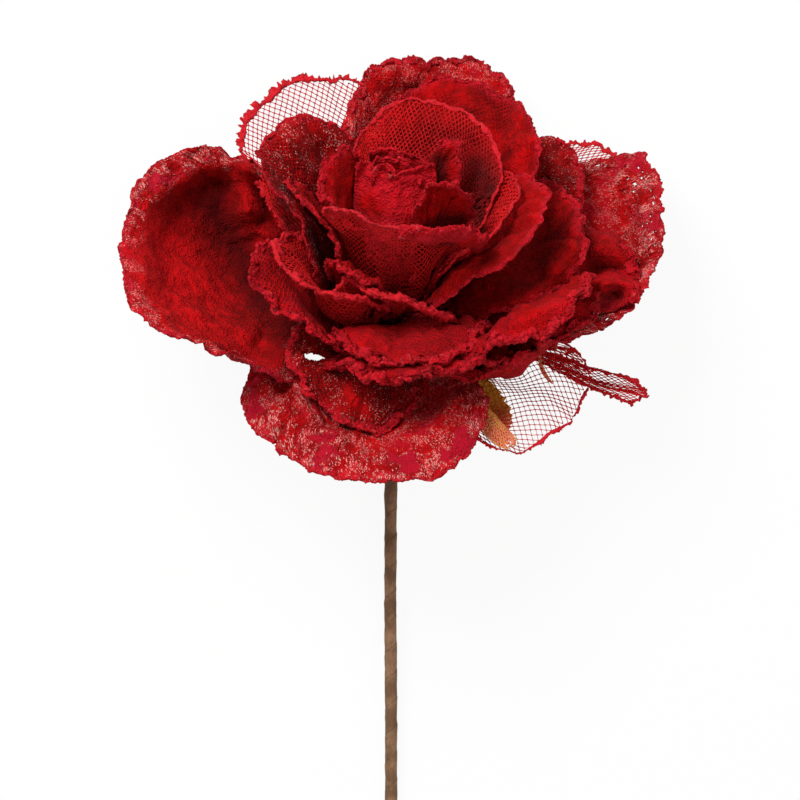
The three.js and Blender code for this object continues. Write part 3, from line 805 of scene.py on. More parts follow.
def build_pulp(net, source):
    """Crumbled paper pulp: soft clumps, fine grit and small pits."""
    where = net.spot()
    clump = net.noise(where, source.outputs["Clump"], 4.0, 0.62)
    grit = net.noise(where, source.outputs["Grit"], 3.0, 0.7)
    pit = net.add("ShaderNodeTexVoronoi", {"Vector": where, "Scale": source.outputs["Grit"]}, feature="F1")
    clumps = net.ramp(clump, 0.3, 0.7)
    height = net.times_plus(clumps, 1.4, net.times(grit, 0.8))
    height = net.minus(height, net.times(net.ramp(pit.outputs["Distance"], 0.1, 0.7), 0.35))
    return {"Tone": clumps, "Grain": net.ramp(grit, 0.3, 0.75), "Height": height}


# How far the cloth's threads waver, in metres
WAVER = 0.0012


def build_weave(net, source):
    """Threads of two crossing sets at 45 degrees to the flat sheet, a pitch apart, wavering a little."""
    flat = net.flat()
    waver = net.add("ShaderNodeTexNoise", {"Vector": flat, "Scale": 260.0, "Detail": 1.0}).outputs["Color"]
    shift = net.vector("SUBTRACT", waver, (0.5, 0.5, 0.5))
    bent = net.vector("MULTIPLY_ADD", shift, (WAVER, WAVER, 0.0), flat)
    parts = net.add("ShaderNodeSeparateXYZ", {0: bent})
    pitch = source.outputs["Pitch"]
    total = net.math("DIVIDE", net.plus(parts.outputs[0], parts.outputs[1]), pitch)
    apart = net.math("DIVIDE", net.minus(parts.outputs[0], parts.outputs[1]), pitch)
    waves = [net.math("ABSOLUTE", net.minus(net.math("FRACT", way), 0.5)) for way in (total, apart)]
    lines = net.ramp(net.most(*waves), 0.24, 0.42)
    return {"Threads": lines, "Holes": net.minus(1.0, lines)}


def build_glints(net, source):
    """Masks for the painted glints and painted sheen of shiny cloth: short streaks that run out along the
    petal, where the random value of a cell of a Voronoi pattern on the flat sheet is under the wanted share;
    clouds in which they come, and fine pleats along them."""
    flat = net.flat()
    scale = source.outputs["Scale"]
    cloud = net.noise(flat, 120.0, 4.0, 0.65)
    clouds = net.ramp(cloud, 0.4, 0.62)
    wanted = net.times(source.outputs["Share"], net.times(clouds, 1.7))
    masks = []
    for angle, long in ((0.35, 0.34), (-0.3, 0.42), (0.9, 0.6)):
        turned_by = {"Vector": flat, "Angle": angle}
        leaning = net.add("ShaderNodeVectorRotate", turned_by, rotation_type="Z_AXIS").outputs[0]
        drawn = net.vector("MULTIPLY", leaning, (1.0, long, 1.0))
        cells = net.add("ShaderNodeTexVoronoi", {"Vector": drawn, "Scale": scale}, feature="F1")
        chance = net.add("ShaderNodeSeparateColor", {0: cells.outputs["Color"]}).outputs[0]
        lit = net.math("LESS_THAN", chance, wanted)
        masks.append(net.times(lit, net.ramp(cells.outputs["Distance"], 0.48, 0.24)))
    drawn = net.vector("MULTIPLY", flat, (1.0, 0.2, 1.0))
    pleat = net.noise(drawn, 520.0, 2.0, 0.6)
    mask = net.most(net.most(*masks[:2]), masks[2])
    return {"Mask": mask, "Cloud": clouds, "Pleat": net.ramp(pleat, 0.35, 0.65)}


PULP = group("pulp", {"Clump": 260.0, "Grit": 1300.0}, ["Tone", "Grain", "Height"], build_pulp)
WEAVE = group("weave", {"Pitch": 0.0024}, ["Threads", "Holes"], build_weave)
GLINTS = group("glints", {"Scale": 900.0, "Share": 0.5}, ["Mask", "Cloud", "Pleat"], build_glints)


def new_material(name, sockets):
    """New material whose shader has the given values on its own sockets."""
    material = bpy.data.materials.new(name)
    material.use_nodes = True
    shader = material.node_tree.nodes["Principled BSDF"]
    for socket, value in sockets.items():
        shader.inputs[socket].default_value = value
    return material, Net(material.node_tree), shader


def dress(net, shader, tone, roughness, height=None, strength=1.0, depth=0.001):
    """Links a colour, a roughness and a bump, whose depth is in metres, to the shader."""
    net.tree.links.new(tone, shader.inputs["Base Color"])
    net.tree.links.new(roughness, shader.inputs["Roughness"])
    if height is not None:
        bump = net.add("ShaderNodeBump", {"Height": height, "Strength": strength, "Distance": depth})
        net.tree.links.new(bump.outputs[0], shader.inputs["Normal"])


def mark(net, name):
    """Value of a mark on the mesh."""
    return net.add("ShaderNodeAttribute", attribute_name=name).outputs["Fac"]


def crepe_material(name, dark, body, bright, glint_paint, glint_size, glint_share, patch_and_sheen):
    """Pulp coated crepe: painted shade in the folds and towards the roots, pinkish on the crumbled rim with
    painted highlights on its proud crumbs, painted glints where the weave is open and painted sheen around
    them, matt patches of pulp over them, and the weave of the cloth under it where it shows."""
    soft = {
        "Specular IOR Level": 0.12, "Sheen Weight": 0.03, "Sheen Roughness": 0.5,
        "Sheen Tint": srgb(240, 90, 90),
    }
    material, net, shader = new_material(name, soft)
    pulp = net.add("ShaderNodeGroup", {"Clump": 210.0, "Grit": 1050.0}, node_tree=PULP)
    cloth = net.add("ShaderNodeGroup", {"Pitch": 0.0023}, node_tree=WEAVE)
    glints = net.add("ShaderNodeGroup", {"Scale": 1 / glint_size, "Share": glint_share}, node_tree=GLINTS)
    level = net.times_plus(pulp.outputs["Tone"], 0.7, net.minus(mark(net, "tone"), 0.35), clamp=True)
    tone = net.mix(level, dark, body)
    show = net.times(cloth.outputs["Holes"], mark(net, "weave"))
    tone = net.mix(net.times(show, 0.85), tone, srgb(84, 0, 2))
    # Painted shade: towards the root, along the strokes of painted shade, in the gaps of the crumbled rim and
    # on the backs of sheets under other petals.
    tone = net.mix(net.times(mark(net, "painted_shade"), 0.92), tone, srgb(60, 0, 1))
    # The rim's own pink, which on the crumbs also carries their painted highlight.
    rim = net.times(mark(net, "edge"), net.ramp(pulp.outputs["Grain"], 0.0, 1.0, 0.4, 1.0))
    tone = net.mix(rim, tone, bright)
    where = net.spot()
    blotch = net.noise(where, 95.0, 3.0, 0.55)
    patch = net.times(net.ramp(blotch, 0.55, 0.6, 0.0, patch_and_sheen), mark(net, "shine"), clamp=True)
    tone = net.mix(net.times(patch, 0.85), tone, srgb(190, 18, 44))
    bare = net.times(net.minus(1.0, patch, clamp=True), mark(net, "shine"), clamp=True)
    # Painted sheen: a pale pink mixed into the colour in clouds and along the pleats; the same mask also
    # lowers the roughness.
    sheen_mask = net.times(net.times(glints.outputs["Cloud"], glints.outputs["Pleat"]), bare)
    tone = net.mix(net.times(sheen_mask, 0.9 * patch_and_sheen), tone, srgb(228, 62, 70))
    # Painted glints: short pale streaks mixed into the colour; the same mask also lowers the roughness.
    glint = net.times(glints.outputs["Mask"], bare)
    tone = net.mix(net.times(glint, 0.9), tone, glint_paint)
    raised = net.times(cloth.outputs["Threads"], mark(net, "weave"))
    height = net.times_plus(raised, 0.8, pulp.outputs["Height"])
    height = net.times_plus(net.times(glints.outputs["Pleat"], bare), 1.2, height)
    gloss = net.most(glint, net.times(sheen_mask, 0.8))
    roughness = net.minus(net.ramp(pulp.outputs["Grain"], 0.0, 1.0, 0.98, 0.8), net.times(gloss, 0.45))
    dress(net, shader, tone, roughness, height, 0.9, 0.0011)
    return material


def net_material(name, low, high, rim):
    """Stiffened thread coated with pulp: two colours along the net, a third on its rim with painted
    highlights on the proud crumbs, and painted shade towards the root and along the strokes of painted shade."""
    material, net, shader = new_material(name, {"Specular IOR Level": 0.25})
    pulp = net.add("ShaderNodeGroup", {"Clump": 260.0, "Grit": 1500.0}, node_tree=PULP)
    level = net.times_plus(pulp.outputs["Tone"], 0.5, net.minus(mark(net, "tone"), 0.25), clamp=True)
    tone = net.mix(level, low, high)
    # Painted shade towards the root, along the strokes of painted shade and in the gaps of the crumbled rim.
    tone = net.mix(net.times(mark(net, "painted_shade"), 0.9), tone, srgb(70, 0, 2))
    tone = net.mix(mark(net, "gilt"), tone, net.mix(mark(net, "down"), srgb(206, 128, 34), srgb(204, 74, 48)))
    # The rim's own pink, which on the crumbs also carries their painted highlight.
    share = net.times(mark(net, "edge"), net.ramp(pulp.outputs["Grain"], 0.0, 1.0, 0.6, 1.0))
    tone = net.mix(share, tone, rim)
    roughness = net.ramp(pulp.outputs["Grain"], 0.0, 1.0, 0.9, 0.65)
    dress(net, shader, tone, roughness, pulp.outputs["Height"], 0.6, 0.0005)
    return material


def paper_material():
    """Brown paper tape: fibres along the tape, lighter worn patches and a darker line at each overlap."""
    material, net, shader = new_material("stem_paper", {"Specular IOR Level": 0.35})
    flat = net.flat()
    parts = net.add("ShaderNodeSeparateXYZ", {0: flat})
    turns = net.math("DIVIDE", parts.outputs[1], TAPE_PITCH * MM)
    turn = net.math("FRACT", net.plus(turns, parts.outputs[0]))
    where = net.spot()
    blotch = net.noise(where, 95.0, 4.0, 0.6)
    fibre_at = net.add("ShaderNodeMapping", {"Vector": where, "Scale": (1.0, 0.3, 1.0)}).outputs[0]
    fibre = net.noise(fibre_at, 1500.0, 3.0)
    tone = net.mix(net.ramp(blotch, 0.38, 0.62), srgb(112, 80, 53), srgb(150, 113, 82))
    tone = net.mix(net.ramp(blotch, 0.6, 0.72, 0.0, 0.6), tone, srgb(176, 136, 116))
    tone = net.mix(net.ramp(fibre, 0.35, 0.7, 0.0, 0.4), tone, srgb(84, 54, 34))
    seam = net.minus(1.0, net.ramp(turn, 0.0, 0.09))
    tone = net.mix(net.times(seam, 0.6), tone, srgb(62, 38, 22))
    dress(net, shader, tone, net.ramp(fibre, 0.3, 0.7, 0.8, 0.6), net.plus(fibre, blotch), 0.5, 0.0004)
    return material


def glue_material():
    """Set glue stained by the pulp: cloudy pinkish amber, glossy in places."""
    material, net, shader = new_material("glue_stained", {})
    pulp = net.add("ShaderNodeGroup", {"Clump": 160.0, "Grit": 700.0}, node_tree=PULP)
    tone = net.mix(pulp.outputs["Tone"], srgb(150, 30, 26), srgb(190, 110, 80))
    roughness = net.ramp(pulp.outputs["Grain"], 0.0, 1.0, 0.55, 0.25)
    dress(net, shader, tone, roughness, pulp.outputs["Height"], 0.7, 0.001)
    return material


def steel_material():
    """Drawn steel wire: grey with faint rust spots, rougher where they are."""
    material, net, shader = new_material("wire_drawn", {"Metallic": 1.0})
    where = net.spot()
    spots = net.noise(where, 900.0, 4.0)
    tone = net.mix(net.ramp(spots, 0.5, 0.72), srgb(150, 152, 154), srgb(110, 84, 66))
    dress(net, shader, tone, net.ramp(spots, 0.3, 0.7, 0.3, 0.6))
    return material


# DARK to BODY is the pulp's own range of tone and BRIGHT the rim's pink, which on proud crumbs is a painted
# highlight. The pale pink on the next line is the colour of the painted glints.
DARK, BODY, BRIGHT = srgb(134, 0, 1), srgb(204, 2, 6), srgb(220, 30, 48)
GLINT_PAINT = srgb(252, 178, 168)
MATERIALS = {
    "pulp": crepe_material("crepe_pulp", DARK, BODY, BRIGHT, GLINT_PAINT, 0.0004, 0.09, 0.0),
    "glitter": crepe_material("crepe_glint", DARK, srgb(206, 8, 14), BRIGHT, GLINT_PAINT, 0.0005, 0.3, 1.0),
    "net": net_material("net_thread", srgb(150, 3, 8), srgb(214, 10, 16), srgb(206, 24, 40)),
    "gold": net_material("gold_thread", srgb(240, 190, 70), srgb(236, 128, 92), srgb(232, 150, 84)),
}
PAPER, GLUE, STEEL = paper_material(), glue_material(), steel_material()


# Petals as they look

def seen_at(points):
    """Place of each point as the camera sees it, in units of PX, across and down."""
    out = to_picture(points) - BALL_TO_BASE
    scale = VIEW_DISTANCE / (VIEW_DISTANCE - out[..., 2]) / PX
    return BASE_SEEN[0] + out[..., 0] * scale, BASE_SEEN[1] - out[..., 1] * scale


def beside(x, y, line, wide):
    """exp(-(distance to a line of corners / wide)^2), with the line in units of PX and wide in
    millimetres."""
    near = np.full(x.shape, 1e9)
    line = np.array(line if len(line) > 1 else line * 2, float)
    for (x0, y0), (x1, y1) in zip(line[:-1], line[1:]):
        long = max(1e-9, (x1 - x0) ** 2 + (y1 - y0) ** 2)
        t = np.clip(((x - x0) * (x1 - x0) + (y - y0) * (y1 - y0)) / long, 0, 1)
        near = np.minimum(near, np.hypot(x - x0 - t * (x1 - x0), y - y0 - t * (y1 - y0)))
    return np.exp(-((near * PX / wide) ** 2))


def press(points, ridges, free):
    """Moves points towards the viewer by each ridge's height times exp(-(distance to its line / half
    width)^2). free is a share from 0 on the core to 1, which keeps the petal on its seat."""
    x, y = seen_at(points)
    for height, wide, line in ridges:
        rise = height * beside(x, y, line, wide) * free
        points = points + rise[..., None] * TOWARD_VIEWER
    return points


def join(*parts):
    """One set of points, faces and marks from several: each part is (points, faces, uv, marks)."""
    count = np.cumsum([0] + [len(part[0]) for part in parts])
    points = np.concatenate([part[0] for part in parts])
    faces = np.concatenate([part[1] + start for part, start in zip(parts, count)])
    uv = np.concatenate([part[2] for part in parts])
    marks = {key: np.concatenate([part[3][key] for part in parts]) for key in parts[0][3]}
    return points, faces, uv, marks


def border_of(grid, first=0):
    """Line up one side of a grid from row first, along the rim and down the other side."""
    return np.concatenate([grid[0, first:-1], grid[:, -1], grid[-1, first:-1][::-1]])


# Distance between the rings of a crumbled rim
CRUMB_STEP = 0.5


def crumbs(border, facing, look, seed):
    """Crumbled rim: a closed tube along the border, wide inwards over the sheet and thin across it, whose
    radius is look's crumb times a sum of random fields over the length and the angle, with spikes on its
    outward side. Returns points, faces, the share along the border that each point is at, and how proud it
    stands."""
    size, inwards, sides = look["crumb"], look.get("inwards", 2.1), 12
    run = np.concatenate([[0], np.cumsum(np.linalg.norm(np.diff(border, axis=0), axis=-1))])
    even = np.linspace(0, run[-1], max(24, int(run[-1] / CRUMB_STEP)))
    border, facing = (
        np.stack([np.interp(even, run, line[:, c]) for c in range(3)], -1) for line in (border, facing)
    )
    border = border + 0.55 * size * np.stack([rough(seed + c, border, 2.4, 3) for c in range(3)], -1)
    angle = np.arange(sides) * 2 * math.pi / sides
    s, ca, sa = even[:, None], np.cos(angle)[None], np.sin(angle)[None]

    def ring(k, long, fine):
        return field(seed + k, s / long, ca * fine + 9, sa * fine)

    lumps = 0.55 * ring(5, 2.0, 2.1) + 0.7 * ring(6, 0.9, 4.4)
    swell = 0.5 * field(seed + 7, s / 9.0, 0.5) + 0.35 * field(seed + 8, s / 3.4, 0.5)
    oval = np.hypot(np.where(ca > 0, inwards, 1.0) * ca, 0.7 * sa)
    radius = size * oval * np.maximum(0.2, 0.9 + look.get("clumpy", 1.0) * swell + lumps)
    spike = smooth((ring(9, 0.95, 1.2) - 0.12) / 0.4)
    long = 0.6 + 0.8 * np.abs(field(seed + 10, s / 1.7, 3.5))
    radius = radius + look["tuft"] * spike * np.maximum(0, -ca) * long
    radius[[0, -1]] = 0.12
    points, faces = tube(border, radius, sides, facing)
    return points, faces, np.repeat(even / even[-1], sides), np.clip(0.45 + swell + lumps, 0, 1).ravel()


def pulp_sheet(name, node, kind, points, seed, look):
    """Pulp coated sheet: the smooth surface roughened by lumps that grow towards the rim, and the crumbled
    rim rolled over its edge. Holes are single quads left out where the weave is open."""
    inward = edge_distance(points)
    n = normals(points)
    over, down = lengths(points, 0), lengths(points, 1)
    near_rim = smooth(1 - inward / 8)
    lumps = 1.1 * rough(seed, points, 12.0, 3) + (0.2 + 0.75 * near_rim) * rough(seed + 5, points, 3.0, 2)
    lumps = look.get("crumple", 1.0) * lumps
    if kind == "glitter":
        lumps = lumps + 0.55 * field(seed + 51, over / 2.8, down / 15.0) * smooth((26 - inward) / 10)
    moved = points + n * lumps[..., None]
    jag = np.stack([rough(seed + 11 + k, points, 4.6, 3) for k in range(3)], -1)
    moved = moved + jag * (1.2 * smooth(1 - inward / 5))[..., None]
    thickness = (0.35 + 0.45 * smooth(inward / 1.2)) * (1 + 0.25 * rough(seed + 23, points, 6.0, 2))
    keep = open_weave(points, inward, seed, look["holes"]) & ~torn(moved)
    both, faces = two_sided(moved, np.maximum(0.25, thickness), keep)
    flat = np.stack([over - over[over.shape[0] // 2], down], -1) * MM
    grid = pulp_marks(node, kind, points, inward, seed, look)
    marks = {key: np.tile(value.ravel(), 2) for key, value in grid.items()}
    # Painted shade on the back of a sheet, which lies under the petals laid over it, nearer than 90 mm to the
    # ball.
    outside = look.get("outside", 0) * smooth((90 - polar(points)[1]) / 8).ravel()
    marks["painted_shade"][: inward.size] = np.maximum(marks["painted_shade"][: inward.size], outside)
    body = (both, faces, np.tile(flat.reshape(-1, 2), (2, 1)), marks)
    line = border_of(moved, 2)
    rim, rim_faces, share, proud = crumbs(line, border_of(n, 2), look, seed + 41)
    spots, rows = share * (len(line) - 1), np.arange(len(line))
    edge_flat = border_of(flat, 2)
    rim_uv = np.stack([np.interp(spots, rows, edge_flat[:, c]) for c in (0, 1)], -1)
    rim_painted_shade = np.interp(spots, rows, border_of(grid["painted_shade"], 2))
    # The crumbs' pink grows with how proud they stand, a painted highlight; the gaps between them get painted
    # shade, and the rim a little painted glint.
    rim_marks = {
        "edge": 0.3 + 0.7 * proud,
        "painted_shade": np.maximum(rim_painted_shade, 0.75 * smooth((0.42 - proud) / 0.4)),
        "shine": np.full(len(rim), 0.1),
        "tone": np.full(len(rim), look["tone"]),
        "weave": np.zeros(len(rim)),
    }
    piece, half_surface = joined_piece(name, node, kind, body, (rim, rim_faces, rim_uv, rim_marks))
    declare(points, half_surface)


def pulp_marks(node, kind, points, inward, seed, look):
    """Marks for the crepe's finish at each point of a sheet's grid, from random fields, the distance inwards
    from the edge, the distance from the ball, which sets the painted shade at the root, and the strokes of
    painted light and shade."""
    # Painted shade near the ball, where the petals around shade the root; painted light from the strokes
    # lifts it.
    painted_shade = smooth((look.get("dark_to", 64) - polar(points)[1]) / look.get("dark_over", 36))
    # Strokes of painted light raise the tone and strokes of painted shade darken it; painted light also takes
    # the glints away where the petal is matt.
    painted_light, painted_dark = paint_shading(points, PAINTED_SHADING.get(node, []))
    light = np.clip(2.5 * painted_light, 0, 1) * look.get("matt", 0)
    band = smooth((look.get("band", 15) - inward + 4 * rough(seed + 25, points, 11, 2)) / 5)
    shine = look.get("sparkle", 1.0 if kind == "glitter" else 0.0) * np.maximum(band, look.get("inside", 0.0))
    edge = 0.8 * smooth(1 - (inward + 1.2 * rough(seed + 29, points, 4.0, 2)) / 4.2)
    blush = look.get("blush", 0) * smooth(0.7 + 0.8 * rough(seed + 37, points, 9.0, 2))
    return {
        "edge": np.maximum(edge, blush),
        "painted_shade": np.maximum(painted_shade * (1 - np.clip(2 * painted_light, 0, 1)), painted_dark),
        "shine": shine * (1 - light),
        "tone": np.clip(look["tone"] + 0.3 * rough(seed + 35, points, 15.0, 3) + painted_light, 0, 1),
        "weave": look["weave"] * smooth((rough(seed + 27, points, 17.0, 2) + 0.6) / 0.9),
    }


def joined_piece(name, node, kind, *parts):
    """Piece made of several parts, laid on the floor, and half of its surface in square millimetres."""
    points, faces, uv, marks = join(*parts)
    mesh = make_mesh(name, on_floor(lay_down(points)), faces, uv, marks)
    return add_piece(name, mesh, node, MATERIALS[kind]), surface_of(points, faces) / 2


def paint_shading(points, strokes):
    """How much painted light and how much painted shade the strokes put on each point: a stroke of positive
    strength paints light and one of negative strength paints shade. Each stroke is its strength, its half
    width in millimetres and its line as seen from the front, and it fades to its sides as the pressed ridges
    do."""
    x, y = seen_at(points)
    painted_light, painted_dark = np.zeros(x.shape), np.zeros(x.shape)
    for strength, wide, line in strokes:
        share = beside(x, y, line, wide)
        painted_light = np.maximum(painted_light, strength * share)
        painted_dark = np.maximum(painted_dark, -strength * share)
    return painted_light, painted_dark


def torn(points):
    """Quads of a grid whose middle is seen inside one of the oval HOLES."""
    x, y = seen_at((points[1:, 1:] + points[:-1, :-1] + points[1:, :-1] + points[:-1, 1:]) / 4)
    inside = np.zeros(x.shape, bool)
    for across, down, wide, high, lean in HOLES:
        level = y - down - lean * (x - across)
        inside |= ((x - across) / wide) ** 2 + (level / high) ** 2 < 1
    return inside


# Height above the floor, in metres, over which a surface eases to it
FLOOR_EASE = 0.0004


def on_floor(points):
    """Keeps points off the floor: z becomes half of z plus the root of its square plus that of FLOOR_EASE."""
    z = points[:, 2]
    points[:, 2] = (z + np.sqrt(z * z + FLOOR_EASE**2)) / 2
    return points


def open_weave(points, inward, seed, share):
    """Keeps every quad but single ones, never two that touch, where the weave near the rim is open."""
    nu, nv = points.shape[0] - 1, points.shape[1] - 1
    middle = points[:-1, :-1]
    if not share:
        return np.ones((nu, nv), bool)
    want = share * smooth((rough(seed + 31, middle, 9.0, 3) + 0.25) / 0.8)
    want = want * smooth((17 - inward[:-1, :-1]) / 8) * smooth((inward[:-1, :-1] - 2.0) / 2)
    luck = np.random.default_rng(seed + 33).uniform(0, 1, (nu, nv))
    best = np.pad(np.where(luck < want, luck, -1.0), 1, constant_values=-1)
    around = [best[1 + a : nu + 1 + a, 1 + b : nv + 1 + b] for a in (-1, 0, 1) for b in (-1, 0, 1) if a or b]
    hole = (best[1:-1, 1:-1] > np.maximum.reduce(around)) & (best[1:-1, 1:-1] >= 0)
    hole[:2], hole[-2:], hole[:, :2], hole[:, -2:] = False, False, False, False
    return ~hole


def flat_cut(points):
    """Flat sheet that a petal was cut from, in millimetres: its widest row across, its longest line from root
    to rim, and the area of its middle surface."""
    step = np.diff(points, axis=0)
    ahead = unit(np.gradient(points, axis=1))
    ahead = (ahead[1:] + ahead[:-1]) / 2
    step = step - (step * ahead).sum(-1, keepdims=True) * ahead
    across = np.linalg.norm(step, axis=-1).sum(0).max()
    along = np.linalg.norm(np.diff(points, axis=1), axis=-1).sum(1).max()
    a = points[1:, :-1] - points[:-1, :-1]
    b = points[:-1, 1:] - points[:-1, :-1]
    area = np.linalg.norm(np.cross(a, b), axis=-1).sum()
    return across, along, min(area, across * along)


def surface_of(points, faces):
    """Area of a mesh of quads: half the cross product of each one's diagonals."""
    one, other = points[faces[:, 2]] - points[faces[:, 0]], points[faces[:, 3]] - points[faces[:, 1]]
    return np.linalg.norm(np.cross(one, other), axis=-1).sum() / 2


# The least share of its width times its length that a flat sheet fills, and how much more surface than its
# flat area a finished sheet has
LEAST_FILLED = 0.31
SURFACE_SPARE = 1.25


def gathered_cut(points, half_surface):
    """Flat sheet that a petal was cut from. The crepe is gathered as it is glued and rolled over at the rim,
    so the cut is larger than the petal, up to the half of its surface that the roll and the lumps take up."""
    across, along, area = flat_cut(points)
    grown = max(1.0, math.sqrt(half_surface / area / SURFACE_SPARE))
    return across * grown, along * grown, area * grown * grown


def declare(points, half_surface):
    """Works out the flat sheet that a petal was cut from, whose area is at least the share LEAST_FILLED of
    its width times its length; nothing uses the result."""
    across, along, area = gathered_cut(points, half_surface)
    area = float(np.clip(area, LEAST_FILLED * across * along, across * along))


def declare_net(points, half_surface, trims):
    """Works out the flat sheet that a net was cut from, whose area is that of its threads and rim within what
    its width times its length allows; nothing uses the result."""
    across, along, area = gathered_cut(points, half_surface)
    area = float(np.clip(half_surface, LEAST_FILLED * across * along, min(area, across * along)))


def clustered(count, power=1.5):
    """Steps from -1 to 1, closer together towards both ends."""
    t = np.linspace(-1, 1, count)
    return np.sign(t) * (1 - (1 - np.abs(t)) ** power)


def outward(count, power=1.4):
    """Steps from 0 to 1, closer together towards 1."""
    return 1 - (1 - np.linspace(0, 1, count)) ** power


def ruffle(points, seed, u, v, look):
    """Waves that grow towards the rim: turns off the axis and reaches vary with direction across the petal,
    and the last few millimetres curl outwards. A bump adds its height times exp(-((u - its middle) / its
    width)^2)."""
    around, dist, off = polar(points)
    curl = look.get("curl", 1.6) * smooth(1 - edge_distance(points) / 9) ** 2
    v = v[None, :]
    wave = field(seed, 2.6 * u[:, None] + 20, 1.5 * v) + 0.6 * field(seed + 1, 7.3 * u[:, None] + 20, 2.5 * v)
    wave = wave + 0.4 * field(seed + 4, 17.0 * u[:, None] + 20, 4.5 * v)
    off = off + look["ruffle"] / dist * wave * v**2 + curl / dist
    reach = field(seed + 2, 6.0 * u[:, None] + 30, 0.5) + 0.7 * field(seed + 3, 15.0 * u[:, None] + 30, 0.5)
    dist = dist + look.get("ragged", 2.0) * reach * v**3
    for middle, wide, height in look.get("bumps", []):
        dist = dist + height * np.exp(-(((u[:, None] - middle) / wide) ** 2)) * v**3
    return place(around, dist, off)


def stand_clear(points, layers, gap):
    """Turns a finished surface outwards wherever it comes nearer than gap to the layers inside it. Points
    around such a place follow it, each by nine tenths of what its neighbour moves."""
    rounds, passed_on = 6, 0.9
    around, dist, off = polar(points)
    need = np.maximum(0, layers.at(around, dist) + gap / dist - off)
    for _ in range(rounds):
        wide = np.pad(need, 1, mode="edge")
        beside = np.maximum.reduce([wide[2:, 1:-1], wide[:-2, 1:-1], wide[1:-1, 2:], wide[1:-1, :-2]])
        need = np.maximum(need, passed_on * beside)
    return place(around, dist, off + need)


def lattice(points, u, v, pitch, seed):
    """Diamond net on a petal: crossings on a square lattice turned by 45 degrees in the petal's flat form,
    found on the surface by reading it at the u and v of each crossing; those past the edge are drawn back
    onto it."""
    over = lengths(points, 0)
    over = over - over[len(u) // 2]
    down = lengths(points, 1)
    wide, tall = np.abs(over).max(), down.max()
    step = pitch / math.sqrt(2)
    ni, nj = int(wide / step) + 2, int(tall / step) + 2
    i, j = np.meshgrid(np.arange(-ni, ni + 1), np.arange(0, nj + 1), indexing="ij")
    x, y = i * step, j * step
    gu, gv = np.zeros_like(x), y / tall
    widths = np.abs(over[[0, -1]]).mean(0)
    rounds = 12
    for _ in range(rounds):
        gv = np.clip(y / np.interp(gu, u, down[:, -1]), 0, 1.3)
        gu = np.clip(x / np.interp(gv, v, widths), -1.3, 1.3)
    even = (i + j) % 2 == 0
    good = even & (np.abs(gu) < 0.99) & (gv < 0.985) & (gv > 0.03)
    gu, gv = np.clip(gu, -1, 1), np.clip(gv, 0, 1)
    spots = read(points, u, v, gu, gv)
    facing = read(normals(points), u, v, gu, gv)
    spots = spots + 0.07 * pitch * np.stack([rough(seed + k, spots, 3.0, 1) for k in range(3)], -1)
    rows, cols = good.shape
    pairs = []
    for d in (1, -1):
        a = (slice(max(0, -d), rows - max(0, d)), slice(0, cols - 1))
        b = (slice(max(0, d), rows - max(0, -d)), slice(1, cols))
        long = np.linalg.norm(spots[b] - spots[a], axis=-1)
        wanted = (good[a] | good[b]) & even[a] & (long > 0.25 * pitch) & (long < 1.9 * pitch)
        pairs.append([values[wanted] for values in (spots[a], spots[b], facing[a], gv[a])])
    return [np.concatenate(column) for column in zip(*pairs)]


def read(values, u, v, gu, gv):
    """Values of a grid at u and v positions between its lines, straight between the four around."""
    i = np.clip(np.searchsorted(u, gu) - 1, 0, len(u) - 2)
    j = np.clip(np.searchsorted(v, gv) - 1, 0, len(v) - 2)
    fu = ((gu - u[i]) / (u[i + 1] - u[i]))[..., None]
    fv = ((gv - v[j]) / (v[j + 1] - v[j]))[..., None]
    low = values[i, j] * (1 - fu) + values[i + 1, j] * fu
    high = values[i, j + 1] * (1 - fu) + values[i + 1, j + 1] * fu
    return low * (1 - fv) + high * fv


def inside_of(x, y, corners):
    """Whether places are inside a polygon: an odd number of its sides lie to their right."""
    odd = np.zeros(x.shape, bool)
    for (x0, y0), (x1, y1) in zip(corners, corners[1:] + corners[:1]):
        cross = (y0 > y) != (y1 > y)
        odd ^= cross & (x < x0 + (x1 - x0) * (y - y0) / (y1 - y0 + 1e-9))
    return odd


# Outline of the gold leaf as seen from the front, filled when the leaf is made
leaf_outline = []


def root_shade(dist):
    """How much painted shade a net has at a distance from the ball, where the petals around its root shade
    it: 1 up to 20 mm and 0 from 50 mm.
    """
    return smooth((50 - dist) / 30)


